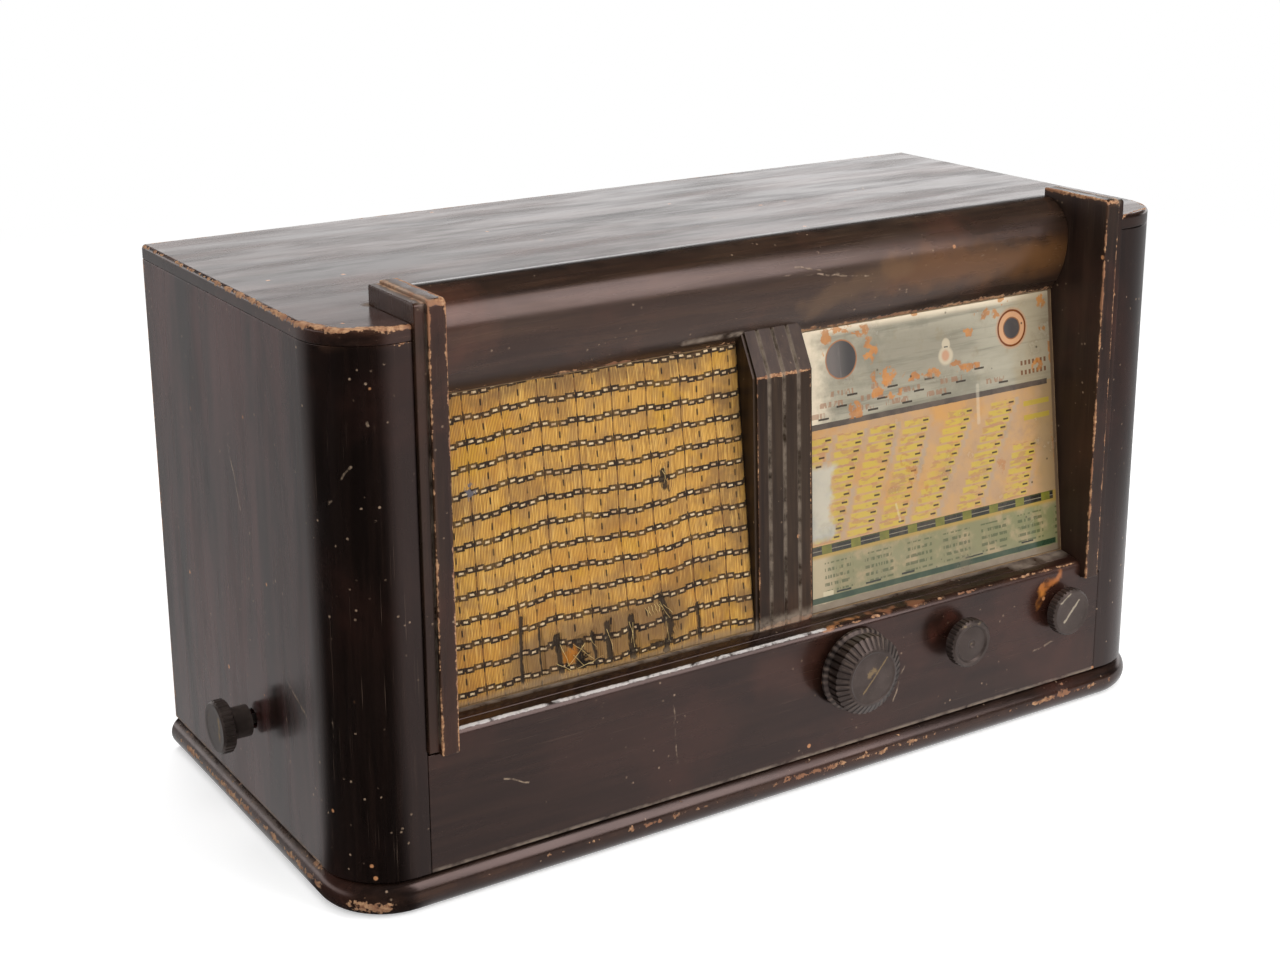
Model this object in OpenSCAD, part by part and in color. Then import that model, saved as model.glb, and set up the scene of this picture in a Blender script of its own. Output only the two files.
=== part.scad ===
// Table radio receiver in a wooden cabinet with a recessed front.
// The recess between two fins holds the loudspeaker cloth, a grooved
// pilaster and a leaning dial glass, under a long rounded roll.
// Origin: middle of the cabinet's footprint, on the table.
// +X to the right as the listener sees it, +Y to the back, +Z up.

/* [Cabinet] */
// Width of the cabinet body
body_w = 600; // [590:1:680]
// Depth of the cabinet body
body_d = 271; // [264:1:320]
// Height of the top panel above the table
body_h = 335; // [330:1:380]
// Plan radius of the two front corners
corner_r = 39; // [25:1:44]
// Thickness of the side and front walls
wall_t = 9; // [7:0.5:12]
// Thickness of the top panel
top_t = 9; // [6:0.5:12]
// Rounding along the top panel's edge
top_edge_r = 2.5; // [1:0.5:4]

/* [Plinth] */
// Height of the base board
base_h = 21.5; // [18:0.5:28]
// How far the nose of the base board stands out
base_lip = 3.5; // [1:0.5:8]

/* [Front recess] */
// Height of the front panel's upper edge
sill_z = 104; // [98:1:112]
// Rounding of the front panel's upper edge
sill_edge_r = 5; // [2:0.5:7]
// Depth from the front to the foot of the dial
sill_depth = 18.5; // [16:0.5:24]
// How much the sill climbs towards the dial
sill_rise = 2.5; // [0:0.5:5]
// Thickness of the sill strip
sill_t = 12; // [8:0.5:14]
// Lean of the cloth and the dial, in degrees
baffle_lean = 7.4; // [4:0.2:10]
// Height from the foot of the dial to the roll's underside
opening_h = 175.5; // [165:0.5:182]
// Thickness of the baffle board
board_t = 9; // [6:0.5:12]

/* [Roll] */
// Radius of the roll
roll_r = 23.5; // [20:0.5:26]
// How far the roll rises over the top panel
roll_rise = 7.5; // [4:0.5:10]
// Distance of the roll's face behind the front
roll_back = 27.5; // [22:0.5:30]
// Thickness of the roll's lower edge before the dial
roll_lip = 1; // [0.5:0.1:3]
// Wall of the roll
roll_t = 9; // [6:0.5:11]

/* [Fins] */
// Distance from the body's side to the outer strip
fin_inset = 48; // [46:1:60]
// Thickness of a fin board
fin_t = 10.7; // [8:0.1:14]
// Thickness of the strip beside a fin
strip_t = 6.6; // [4:0.1:9]
// How far a fin stands out of the front
fin_proud = 5.2; // [3:0.1:9]
// How far a strip stays behind the fin's edge
strip_back = 2.9; // [1:0.1:5]
// Height of a fin's lower end
fin_foot_z = 92.5; // [85:0.5:96]
// Height of a fin over the top panel
fin_rise = 12.5; // [10:0.5:18]
// Depth of a fin from the front
fin_depth = 51.5; // [48:0.5:60]
// Rounding at a fin's upper front corner
fin_round = 4; // [1:0.5:6]

/* [Pilaster] */
// Place of the pilaster from the middle
pilaster_x = 2.2; // [-6:0.1:10]
// Width of the pilaster
pilaster_w = 43.5; // [38:0.5:50]
// How far its foot stands before the cloth
pilaster_foot = 3; // [2:0.5:5]
// Lean of its lower face, in degrees
pilaster_lean = 2.3; // [1:0.1:3]
// Height of its bend over the foot of the dial
bend_h = 157.5; // [140:0.5:164]
// How far its upper end stands before the cloth
pilaster_top = 7; // [4:0.5:9]
// Width of a groove
groove_w = 1.6; // [1:0.1:2.5]
// Step along its two front edges
edge_step = 1.5; // [0.5:0.1:2.5]

/* [Cloth and dial] */
// Thickness of the loudspeaker cloth
cloth_t = 0.8; // [0.6:0.1:1.5]
// Thickness of the dial glass
glass_t = 3; // [2:0.5:4]
// Height of cloth and dial glass along the lean
field_h = 176; // [160:0.5:178]
// Width of the rebate behind the glass
glass_rebate = 8; // [5:0.5:12]
// Place of the loudspeaker from the middle
speaker_x = -127; // [-130:1:-122]
// Height of the loudspeaker above the foot of the cloth
speaker_v = 92; // [90:1:94]
// Radius of the loudspeaker opening
speaker_hole_r = 80; // [72:1:84]

/* [Controls] */
// Height of the control shafts
shaft_z = 75; // [72:1:80]
// Place of the tuning knob from the middle
tuning_x = 41; // [36:1:48]
// Place of the volume knob from the middle
volume_x = 126.5; // [110:0.5:134]
// Place of the tone knob from the middle
tone_x = 216.5; // [200:0.5:218]
// Place of the side knob from the middle of the depth
wave_y = -3; // [-20:1:20]
// Radius of the control shafts
shaft_r = 3; // [2.5:0.5:3.5]
// Radius of the tuning knob
tuning_knob_r = 25.5; // [22:0.5:28]
// Length of the tuning knob
tuning_knob_h = 18; // [15:0.5:22]
// Radius of the small knobs
knob_r = 16; // [13:0.5:18]
// Thickness of a small knob's cap
knob_cap_t = 8; // [6:0.5:11]
// Radius of a small knob's neck
knob_neck_r = 9.5; // [7:0.5:11]
// Neck of the volume knob
volume_neck = 4; // [1:0.5:8]
// Neck of the tone knob
tone_neck = 1; // [0.5:0.5:6]
// Neck of the side knob
wave_neck = 12.5; // [6:0.5:16]
// Space between a knob and the wall behind it
knob_gap = 4; // [2:0.5:6]
// Flutes round the tuning knob
tuning_flutes = 36; // [24:1:40]
// Ribs round a small knob
knob_ribs = 32; // [24:1:36]
// Radius of the shaft holes in the wood
shaft_hole_r = 6; // [5:0.5:8]

/* [Chassis] */
// Left end of the chassis from the middle
chassis_x0 = -205; // [-215:1:-200]
// Right end of the chassis from the middle
chassis_x1 = 245; // [240:1:255]
// Height of the chassis's upper face
chassis_z = 100; // [98:1:102]
// Height of the chassis's walls
chassis_h = 62; // [58:1:66]
// Depth of the chassis
chassis_d = 192; // [188:1:196]
// Distance of the chassis behind the front of the cabinet
chassis_back = 35.5; // [34:0.5:38]
// Thickness of the chassis sheet
sheet_t = 1.5; // [1:0.1:2]
// Radius of a chassis bolt
bolt_r = 2.5; // [2:0.1:3]

/* [Dial drive] */
// Radius of the cord on the drum
drum_r = 55; // [50:1:56]
// Radius of the cord on the tuning spindle
spindle_r = 4; // [3.8:0.1:4.4]
// Radius of the cord on the pulleys
pulley_r = 8; // [7:0.5:9]
// Radius of the dial cord
cord_r = 0.5; // [0.4:0.05:0.6]
// Height of the drum's axis over the chassis
drum_up = 45; // [43:1:48]
// Place of the drum from the middle
drum_x = 130; // [126:1:134]
// Height of the pulleys over the chassis
pulley_up = 130; // [127:1:131]
// Distance of the pulleys from the drum's axis
pulley_dx = 102; // [101:0.5:103]
// Vanes in each half of the tuning capacitor
vanes = 9; // [5:1:9]
// Radius of the moving vanes
vane_r = 23; // [20:0.5:23.5]

/* [Back] */
// Thickness of the back cover
back_t = 3.2; // [2:0.1:5]
// How far the back cover lies inside the cabinet
back_in = 4; // [2:0.5:8]
// Side of the battens that carry the back cover
batten = 14; // [12:1:18]
// Columns of vent slots
slot_columns = 9; // [5:1:9]
// Rows of vent slots
slot_rows = 5; // [3:1:5]

/* [Fits] */
// Running clearance of a shaft in its bush
run_fit = 0.05; // [0.02:0.01:0.08]
// Clearance between loose neighbours
gap = 0.3; // [0.2:0.05:0.4]

/* [Hidden] */
$fn = 64;

wood = "#3b2a25";
worn_wood = "#5a4030";
bakelite = "#2c2624";
steel = "#9a9a98";
brass = "#b08d4a";
e = 0.01;

front_y = -body_d / 2;
back_y = body_d / 2;
side_x = body_w / 2;
corner_x = side_x - corner_r;
corner_y = front_y + corner_r;
wall_top = body_h - top_t;

fin_out_x = side_x - fin_inset;
fin_mid_x = fin_out_x - strip_t;
fin_in_x = fin_mid_x - fin_t;
fin_back_y = front_y + fin_depth;
fin_top = body_h + fin_rise;

foot_y = front_y + sill_depth;
foot_z = sill_z + sill_rise;
roll_bottom = foot_z + opening_h;
roll_cy = front_y + roll_back + roll_r;
roll_cz = body_h + roll_rise - roll_r;
roll_end_y = roll_cy + sqrt(pow(roll_r, 2) - pow(body_h - roll_cz, 2));
roll_face_y = front_y + roll_back;
roll_tuck = foot_y + opening_h * tan(baffle_lean) - roll_lip - roll_face_y;
roll_drop = roll_cz - roll_bottom;
roll_low_r = (pow(roll_drop, 2) + pow(roll_tuck, 2)) / (2 * roll_tuck);
roll_low_y = roll_face_y + roll_low_r;
board_top = (opening_h + roll_t) / cos(baffle_lean);

chassis_y0 = front_y + chassis_back;
chassis_y1 = chassis_y0 + chassis_d;
chassis_foot = chassis_z - chassis_h;
chassis_lip = 26;
bolt_y = chassis_d / 2 - 24;

cover_y = back_y - back_in;
batten_y = cover_y - back_t;
inner_x = side_x - wall_t;

drum_z = chassis_z + drum_up;
drum_y = chassis_y0 + 33;
drum_t = 5;
pulley_z = chassis_z + pulley_up;
pulley_left_x = drum_x - pulley_dx;
pulley_right_x = drum_x + pulley_dx;
rail_y = drum_y - 7;
rail_r = 2;
cord_z = pulley_z + pulley_r;
rail_z = cord_z - 6;
plate_v = 16;
plate_gap = 10;
plate_h = cord_z - foot_z - plate_v;
plate_x0 = pilaster_x + pilaster_w / 2 + 6;
plate_x1 = fin_in_x - 6;
needle_x = drum_x - PI * drum_r / 2;
eye_x = 58.5;
lamp_x = 199;
window_v = 155.5;
eye_r = 14;

glass_x0 = pilaster_x + pilaster_w / 2 + gap;
glass_x1 = fin_in_x - gap;
cloth_x0 = -fin_in_x + gap;
cloth_x1 = pilaster_x - pilaster_w / 2 - gap;

bush_r = 4.75;
bush_l = 9;
spindle_end_y = drum_y + 6;

valve_y = chassis_y1 - 34;
rectifier_x = -60;
output_x = -12;
audio_x = 36;
if_valve_x = 176;
mixer_x = 222;
mixer_y = chassis_y0 + 112;
holder_r = 17;
holder_t = 4;
valve_base_r = 15;
socket_z = chassis_foot + 30;
socket_x = 60;
socket_pitch = 20;
lead_x = -175;
lead_r = 4;

// Height of the sill's surface at a given depth
function sill_at(y) =
    sill_z + (y - front_y - sill_edge_r) * sill_rise / (sill_depth - sill_edge_r);

// Depth of the leaning face at a given height
function face_y(z) = foot_y + (z - foot_z) * tan(baffle_lean);

// Points of an arc in the plane
function arc(cx, cy, r, a0, a1, n) =
    [for (i = [0:n]) let (a = a0 + (a1 - a0) * i / n) [cx + r * cos(a), cy + r * sin(a)]];

// An outline in Y and Z, drawn out along X
module run_x(x0, x1) {
    translate([x0, 0, 0])
        rotate([90, 0, 90])
            linear_extrude(x1 - x0)
                children();
}

// An outline in X and Z, drawn out along Y
module run_y(y0, y1) {
    translate([0, y1, 0])
        rotate([90, 0, 0])
            linear_extrude(y1 - y0)
                children();
}

// The frame of the leaning face: X across, Y into the set, Z up the lean
module on_face() {
    translate([0, foot_y, foot_z])
        rotate([-baffle_lean, 0, 0])
            children();
}

// Places a turned piece so that its Z axis points out of the front
module facing_front(x, y, z) {
    translate([x, y, z])
        rotate([90, 0, 0])
            children();
}

// Places a turned piece so that its Z axis points into the set
module facing_back(x, y, z) {
    translate([x, y, z])
        rotate([-90, 0, 0])
            children();
}

module mirrored_pair() {
    children();
    mirror([1, 0, 0])
        children();
}

// Right half of the cabinet's outline, drawn in by an inset
module plan_half(inset, h) {
    translate([-e, corner_y, 0])
        cube([side_x - inset + e, back_y - corner_y, h]);
    translate([-e, front_y + inset, 0])
        cube([corner_x + e, corner_r - inset + e, h]);
    translate([corner_x, corner_y, 0])
        cylinder(r = corner_r - inset, h = h, $fn = 96);
}

// Outline of the base board's half-round nose
module nose_outline(root) {
    polygon(concat([[root, 0]], arc(root + 2, base_h / 2, base_h / 2, -90, 90, 14),
        [[root, base_h]]));
}

module base_board() {
    inset = base_h / 2 - base_lip;
    root = side_x - inset - 2;
    color(wood)
    difference() {
        mirrored_pair() {
            plan_half(inset + 1, base_h);
            run_y(corner_y, back_y) nose_outline(root);
            translate([corner_x, corner_y, 0])
                rotate([0, 0, -90])
                    rotate_extrude(angle = 90, $fn = 96)
                        nose_outline(corner_r - inset - 2);
            translate([0, corner_y, 0])
                rotate([0, 0, -90])
                    run_y(-e, corner_x) nose_outline(corner_r - inset - 2);
        }
        bolt_places()
            translate([0, 0, -e]) {
                cylinder(r = bolt_r + gap, h = base_h + 1);
                cylinder(r = 3 * bolt_r, h = 6 + e);
            }
    }
}

module bolt_places() {
    for (x = [chassis_x0 + chassis_lip / 2, chassis_x1 - chassis_lip / 2])
        for (s = [-1, 1])
            translate([x, (chassis_y0 + chassis_y1) / 2 + s * bolt_y, 0])
                children();
}

// Side wall, bent round the front corner as far as the fin
module side_wall() {
    h = wall_top - base_h;
    translate([0, 0, base_h])
    difference() {
        plan_half(0, h);
        translate([0, 0, -1]) {
            plan_half(wall_t, h + 2);
            translate([-1, back_y - 1, 0])
                cube([inner_x + 1, 3, h + 2]);
            translate([-1, front_y - 1, 0])
                cube([fin_out_x + 1, body_d, h + 2]);
        }
    }
}

module right_side() {
    color(wood) side_wall();
}

module left_side() {
    color(wood)
    difference() {
        mirror([1, 0, 0]) side_wall();
        translate([-side_x - 1, wave_y, shaft_z])
            rotate([0, 90, 0])
                cylinder(r = shaft_hole_r, h = wall_t + 2);
    }
}

module front_outline() {
    y1 = front_y + wall_t;
    polygon(concat(
        [[y1, base_h], [front_y, base_h]],
        arc(front_y + sill_edge_r, sill_z - sill_edge_r, sill_edge_r, 180, 90, 10),
        [[y1, sill_at(y1)]]));
}

module front_panel() {
    color(wood)
    difference() {
        run_x(-fin_out_x, fin_out_x) front_outline();
        mirrored_pair()
            translate([fin_in_x, front_y - 1, fin_foot_z])
                cube([fin_out_x, wall_t + 2, sill_z]);
        for (x = [tuning_x, volume_x, tone_x])
            facing_front(x, front_y + wall_t + 1, shaft_z)
                cylinder(r = shaft_hole_r, h = wall_t + 2);
    }
}

module sill() {
    y0 = front_y + wall_t;
    low = foot_z - sill_t;
    color(wood)
    run_x(-fin_in_x, fin_in_x)
        polygon([[y0, low], [face_y(low), low], [foot_y, foot_z], [y0, sill_at(y0)]]);
}

// Removes the sharp upper edge of the top panel on the right and in front
module top_edge_cut() {
    r = top_edge_r;
    translate([0, 0, body_h - r]) {
        run_y(corner_y, back_y + 1) edge_outline(side_x - r, r);
        translate([corner_x, corner_y, 0])
            rotate([0, 0, -90])
                rotate_extrude(angle = 90, $fn = 96)
                    edge_outline(corner_r - r, r);
        translate([0, corner_y, 0])
            rotate([0, 0, -90])
                run_y(fin_out_x, corner_x) edge_outline(corner_r - r, r);
    }
}

module edge_outline(x, r) {
    polygon(concat(arc(x, 0, r, 0, 90, 6), [[x, r + 1], [x + r + 1, r + 1], [x + r + 1, 0]]));
}

module top_panel() {
    color(wood)
    difference() {
        translate([0, 0, wall_top])
            mirrored_pair()
                plan_half(0, top_t);
        translate([-fin_in_x, front_y - 1, wall_top - 1])
            cube([2 * fin_in_x, roll_end_y - front_y + 1, top_t + 2]);
        mirrored_pair() {
            translate([fin_in_x - e, front_y - 1, wall_top - 1])
                cube([fin_out_x - fin_in_x + e, fin_depth + 1, top_t + 2]);
            top_edge_cut();
        }
    }
}

// Outline of the roll: a round crown and a face that curves back to the dial
module roll_outline() {
    inner = roll_r - roll_t;
    a_out = asin((body_h - roll_cz) / roll_r);
    a_in = asin((wall_top - roll_cz) / inner);
    a_low = asin(roll_drop / roll_low_r);
    a_rest = asin((roll_drop - roll_t) / (roll_low_r - roll_t));
    polygon(concat(
        arc(roll_cy, roll_cz, roll_r, a_out, 180, 24),
        arc(roll_low_y, roll_cz, roll_low_r, 180 + a_low / 14, 180 + a_low, 13),
        [[face_y(roll_bottom), roll_bottom],
         [face_y(roll_bottom + roll_t), roll_bottom + roll_t]],
        arc(roll_low_y, roll_cz, roll_low_r - roll_t, 180 + a_rest, 180, 10),
        arc(roll_cy, roll_cz, inner, 180 - (180 - a_in) / 18, a_in, 17),
        [[roll_end_y, wall_top]]));
}

module top_roll() {
    color(worn_wood)
    run_x(-fin_in_x, fin_in_x) roll_outline();
}

// Side view of a fin or a strip with its rounded upper corners
module fin_outline(y0, z0, z1, r) {
    polygon(concat(
        [[fin_back_y, sill_z], [front_y + wall_t, sill_z], [front_y + wall_t, z0], [y0, z0]],
        arc(y0 + r, z1 - r, r, 180, 90, 8),
        [[fin_back_y, z1]]));
}

module fin() {
    run_x(fin_in_x, fin_mid_x)
        fin_outline(front_y - fin_proud, fin_foot_z, fin_top, fin_round);
}

module left_fin() {
    color(wood) mirror([1, 0, 0]) fin();
}

module right_fin() {
    color(wood) fin();
}

module fin_strips() {
    color(wood)
    mirrored_pair()
        run_x(fin_mid_x, fin_out_x)
            fin_outline(front_y - fin_proud + strip_back, fin_foot_z + 2, fin_top - 1.5,
                fin_round / 2);
}

// Board behind cloth and dial, with the loudspeaker hole and the dial window
module baffle_board() {
    low = -9;
    high = board_top;
    color(worn_wood)
    difference() {
        on_face()
            difference() {
                translate([-fin_in_x, 0, low])
                    cube([2 * fin_in_x, board_t, high - low]);
                translate([glass_x0, -1, 0])
                    cube([glass_x1 - glass_x0, glass_t + 1, field_h + gap]);
                translate([glass_x0 + glass_rebate, 0, glass_rebate])
                    cube([glass_x1 - glass_x0 - 2 * glass_rebate, board_t + 1,
                        field_h - 2 * glass_rebate]);
            }
        on_speaker()
            translate([0, 0, -board_t - 1])
                cylinder(r = speaker_hole_r, h = board_t + 2, $fn = 96);
        speaker_screw_places()
            translate([0, 0, -board_t + 1])
                cylinder(r = screw_r, h = board_t, $fn = 24);
    }
}

// Front line of the pilaster as seen from the side
bend_z = foot_z + bend_h;
pilaster_foot_y = foot_y - pilaster_foot;
bend_y = pilaster_foot_y + bend_h * tan(pilaster_lean);
crown_z = roll_bottom + roll_t - 1;
crown_y = face_y(crown_z) - pilaster_top;

module pilaster_outline(inset) {
    polygon([
        [pilaster_foot_y + inset, sill_at(pilaster_foot_y + inset)],
        [bend_y + inset, bend_z],
        [crown_y + inset, crown_z],
        [face_y(crown_z), crown_z],
        [foot_y, foot_z]]);
}

// A V groove that follows the two faces of the pilaster
module pilaster_groove(x) {
    low = atan2(bend_y - pilaster_foot_y, bend_z - foot_z);
    high = atan2(crown_y - bend_y, crown_z - bend_z);
    side = groove_w;
    for (run = [[pilaster_foot_y, foot_z, low, bend_h + 6, -6],
                [bend_y, bend_z, high, 50, -1.2]])
        translate([x, run[0], run[1]])
            rotate([-run[2], 0, 0])
                translate([0, 0, run[4]])
                    rotate([0, 0, 45])
                        translate([-side / 2, -side / 2, 0])
                            cube([side, side, run[3]]);
}

module pilaster() {
    half = pilaster_w / 2;
    color(wood)
    difference() {
        union() {
            run_x(pilaster_x - half + 2, pilaster_x + half - 2) pilaster_outline(0);
            run_x(pilaster_x - half, pilaster_x + half) pilaster_outline(edge_step);
        }
        for (k = [1:3])
            pilaster_groove(pilaster_x - half + k * pilaster_w / 4);
        run_x(-fin_in_x, fin_in_x) roll_outline();
    }
}

module speaker_cloth() {
    high = min(field_h, opening_h / cos(baffle_lean) - 2 * gap);
    color("#b48a3c")
    on_face()
        translate([cloth_x0, -cloth_t, gap])
            cube([cloth_x1 - cloth_x0, cloth_t, high]);
}

module dial_glass() {
    color([0.78, 0.80, 0.70])
    on_face()
        translate([glass_x0, 0, gap])
            cube([glass_x1 - glass_x0, glass_t, field_h - gap]);
}

module back_battens() {
    h = wall_top - base_h;
    color(worn_wood)
    difference() {
        union() {
            mirrored_pair()
                translate([inner_x - batten, batten_y - batten, base_h])
                    cube([batten, batten, h]);
            translate([-inner_x + batten, batten_y - batten, wall_top - batten])
                cube([2 * (inner_x - batten), batten, batten]);
        }
        cover_screw_places()
            translate([0, 0, -back_t - batten + 2])
                cylinder(r = screw_r, h = batten, $fn = 24);
    }
}

screw_r = 1.7;
cover_screws = [for (s = [-1, 1], k = [0:2])
    [s * (inner_x - batten / 2), base_h + 20 + k * (wall_top - base_h - 27) / 2]];
top_screws = [for (x = [-120, 120]) [x, wall_top - batten / 2]];

module cover_screw_places() {
    for (p = concat(cover_screws, top_screws))
        facing_back(p[0], cover_y, p[1])
            children();
}

slot_w = 40;
slot_h = 7;
slot_pitch_x = 54;
slot_pitch_z = 16;
vent_z = wall_top - 112;

module slot_outline() {
    square([slot_w - slot_h, slot_h], center = true);
    for (s = [-1, 1])
        translate([s * (slot_w - slot_h) / 2, 0])
            circle(d = slot_h, $fn = 32);
}

window_w = 74;
window_h = 26;

module back_cover() {
    w = 2 * inner_x - 2 * gap;
    color("#6d5340")
    difference() {
        translate([-w / 2, cover_y - back_t, base_h + gap])
            cube([w, back_t, wall_top - base_h - 2 * gap]);
        for (i = [0:slot_columns - 1])
            for (k = [0:slot_rows - 1])
                run_y(cover_y - back_t - 1, cover_y + 1)
                    translate([(i - (slot_columns - 1) / 2) * slot_pitch_x,
                            vent_z + (k - (slot_rows - 1) / 2) * slot_pitch_z])
                        slot_outline();
        translate([socket_x - window_w / 2, cover_y - back_t - 1, socket_z - window_h / 2])
            cube([window_w, back_t + 2, window_h]);
        facing_back(lead_x, cover_y - back_t - 1, socket_z)
            cylinder(r = 2 * lead_r, h = back_t + 2);
        cover_screw_places()
            translate([0, 0, -back_t - 1])
                cylinder(r = screw_r + gap, h = back_t + 2, $fn = 24);
    }
}

// Raised-head wood screw, its head's underside at Z = 0
module wood_screw(l, r, head_r) {
    rotate_extrude($fn = 24)
        polygon(concat([[0, -l], [r * 0.5, -l + 1.5], [r, -l + 4], [r, 0], [head_r, 0]],
            arc(0, 0.4 - head_r, 1.4142 * head_r, 45, 90, 5)));
}

module back_cover_screws() {
    color(brass)
    cover_screw_places()
        wood_screw(back_t + 10, screw_r, 4);
}

module chassis_runners() {
    color(worn_wood)
    difference() {
        for (x = [chassis_x0, chassis_x1 - chassis_lip])
            translate([x, chassis_y0, base_h])
                cube([chassis_lip, chassis_d, chassis_foot - base_h]);
        bolt_places()
            cylinder(r = bolt_r + gap, h = chassis_foot + 1);
    }
}

module chassis_bolts() {
    nut_h = 4;
    color(steel)
    bolt_places() {
        translate([0, 0, 2])
            cylinder(r = 2 * bolt_r, h = 4);
        translate([0, 0, 4])
            cylinder(r = bolt_r, h = chassis_foot + sheet_t + nut_h);
        translate([0, 0, chassis_foot + sheet_t])
            cylinder(r = 2 * bolt_r, h = nut_h, $fn = 6);
    }
}

// Folded sheet tray, open below, with lips along its two ends
module chassis() {
    l = chassis_x1 - chassis_x0;
    t = sheet_t;
    color(steel)
    difference() {
        translate([chassis_x0, chassis_y0, chassis_foot])
            cube([l, chassis_d, chassis_h]);
        translate([chassis_x0 + t, chassis_y0 + t, chassis_foot + t])
            cube([l - 2 * t, chassis_d - 2 * t, chassis_h - 2 * t]);
        translate([chassis_x0 + chassis_lip, chassis_y0 + t, chassis_foot - 1])
            cube([l - 2 * chassis_lip, chassis_d - 2 * t, chassis_h / 2]);
        bolt_places()
            translate([0, 0, chassis_foot - 1])
                cylinder(r = bolt_r + gap, h = t + 2);
        for (x = [tuning_x, volume_x, tone_x])
            facing_front(x, chassis_y0 + t + 1, shaft_z)
                cylinder(r = bush_r, h = t + 2);
        translate([chassis_x0 - 1, wave_y, shaft_z])
            rotate([0, 90, 0])
                cylinder(r = bush_r, h = t + 2);
        for (p = valve_places)
            translate([p[0], p[1], chassis_z - t - 1])
                cylinder(r = valve_base_r - 1, h = t + 2);
        translate([tuning_x - 14, drum_y - drum_t / 2 - 4, chassis_z - t - 1])
            cube([drum_x + 42 - tuning_x + 14, drum_t + 8, t + 2]);
        facing_back(lead_x, chassis_y1 - t - 1, socket_z)
            cylinder(r = lead_r + 2, h = t + 2);
        for (s = [-1, 1])
            facing_back(socket_x + s * socket_pitch / 2, chassis_y1 - t - 1, socket_z)
                cylinder(r = socket_tube_r + 1.5, h = t + 2);
    }
}

valve_places = [[rectifier_x, valve_y], [output_x, valve_y], [audio_x, valve_y],
    [if_valve_x, valve_y], [mixer_x, mixer_y]];

module valve_holders() {
    color(bakelite)
    for (p = valve_places)
        translate([p[0], p[1], chassis_z])
            difference() {
                cylinder(r = holder_r, h = holder_t);
                translate([0, 0, -1])
                    cylinder(r = 9, h = holder_t + 2);
            }
}

// Glass valve: base, shouldered bulb, domed top and an optional top cap
module valve(x, y, bulb_r, h, cap) {
    base_h = 26;
    shoulder = 14;
    neck_r = valve_base_r - 1.5;
    top_z = h - bulb_r * 0.7;
    cap_r = 4.5;
    translate([x, y, chassis_z + holder_t])
        rotate_extrude($fn = 48)
            polygon(concat(
                [[0, 0], [valve_base_r, 0], [valve_base_r, base_h], [neck_r, base_h],
                 [neck_r, base_h + 4], [bulb_r, base_h + 4 + shoulder], [bulb_r, top_z]],
                [for (a = [10:10:70]) [bulb_r * cos(a), top_z + 0.7 * bulb_r * sin(a)]],
                cap ? [[cap_r, h - 1], [cap_r, h + 9], [0, h + 9]] : [[0, h]]));
}

module mixer_valve() {
    color("#8c2f22") valve(mixer_x, mixer_y, 18, 84, true);
}

module if_valve() {
    color("#8c2f22") valve(if_valve_x, valve_y, 18, 84, true);
}

module audio_valve() {
    color("#8c2f22") valve(audio_x, valve_y, 18, 84, true);
}

module output_valve() {
    color("#c9cdc8") valve(output_x, valve_y, 21, 98, false);
}

module rectifier_valve() {
    color("#c9cdc8") valve(rectifier_x, valve_y, 21, 98, false);
}

can_r = 17;

module smoothing_capacitors() {
    color("#b9bbbb")
    for (x = [-28, 10])
        translate([x, chassis_y0 + 108, chassis_z])
            rotate_extrude($fn = 48)
                polygon([[0, 0], [can_r, 0], [can_r, 3], [can_r - 1, 4], [can_r - 1, 72],
                    [can_r - 3, 74], [0, 74]]);
}

module if_cans() {
    side = 34;
    h = 82;
    corner = 5;
    color("#b9bbbb")
    for (x = [82, 132])
        translate([x, valve_y, chassis_z])
            linear_extrude(h)
                polygon([[-side / 2 + corner, -side / 2], [side / 2 - corner, -side / 2],
                    [side / 2, -side / 2 + corner], [side / 2, side / 2 - corner],
                    [side / 2 - corner, side / 2], [-side / 2 + corner, side / 2],
                    [-side / 2, side / 2 - corner], [-side / 2, -side / 2 + corner]]);
}

// Laminated core with two windows, standing on its long side
module core(w, h, d) {
    leg = w / 6;
    difference() {
        translate([-w / 2, -d / 2, 0])
            cube([w, d, h]);
        for (s = [-1, 1])
            translate([s * (leg + leg / 2) - leg / 2, -d / 2 - 1, leg])
                cube([leg, d + 2, h - 2 * leg]);
    }
}

// Winding on the middle leg of such a core
module coil(w, h, d) {
    leg = w / 6;
    out = leg * 0.85;
    c = 0.1;
    difference() {
        translate([-2 * leg + c, -d / 2 - out, leg + c])
            cube([4 * leg - 2 * c, d + 2 * out, h - 2 * leg - 2 * c]);
        translate([-leg - c, -d / 2 - c, 0])
            cube([2 * leg + 2 * c, d + 2 * c, h]);
    }
}

mains_w = 84;
mains_h = 70;
mains_d = 36;
mains_x = -135;
mains_y = valve_y - 2;

module mains_transformer_core() {
    color("#4a4a4c")
    translate([mains_x, mains_y, chassis_z])
        core(mains_w, mains_h, mains_d);
}

module mains_transformer_coil() {
    color("#a58a5a")
    translate([mains_x, mains_y, chassis_z])
        coil(mains_w, mains_h, mains_d);
}

module output_transformer() {
    w = 42;
    h = 36;
    d = 18;
    color("#4a4a4c")
    translate([-62, chassis_y0 + 62, chassis_z]) {
        core(w, h, d);
        coil(w, h, d);
        translate([-w / 6 - 0.2, -d / 2 - 0.2, w / 6])
            cube([w / 3 + 0.4, d + 0.4, h - w / 3]);
    }
}

socket_tube_r = 3.6;
socket_bore_r = 2.05;
socket_depth = 14;

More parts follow.
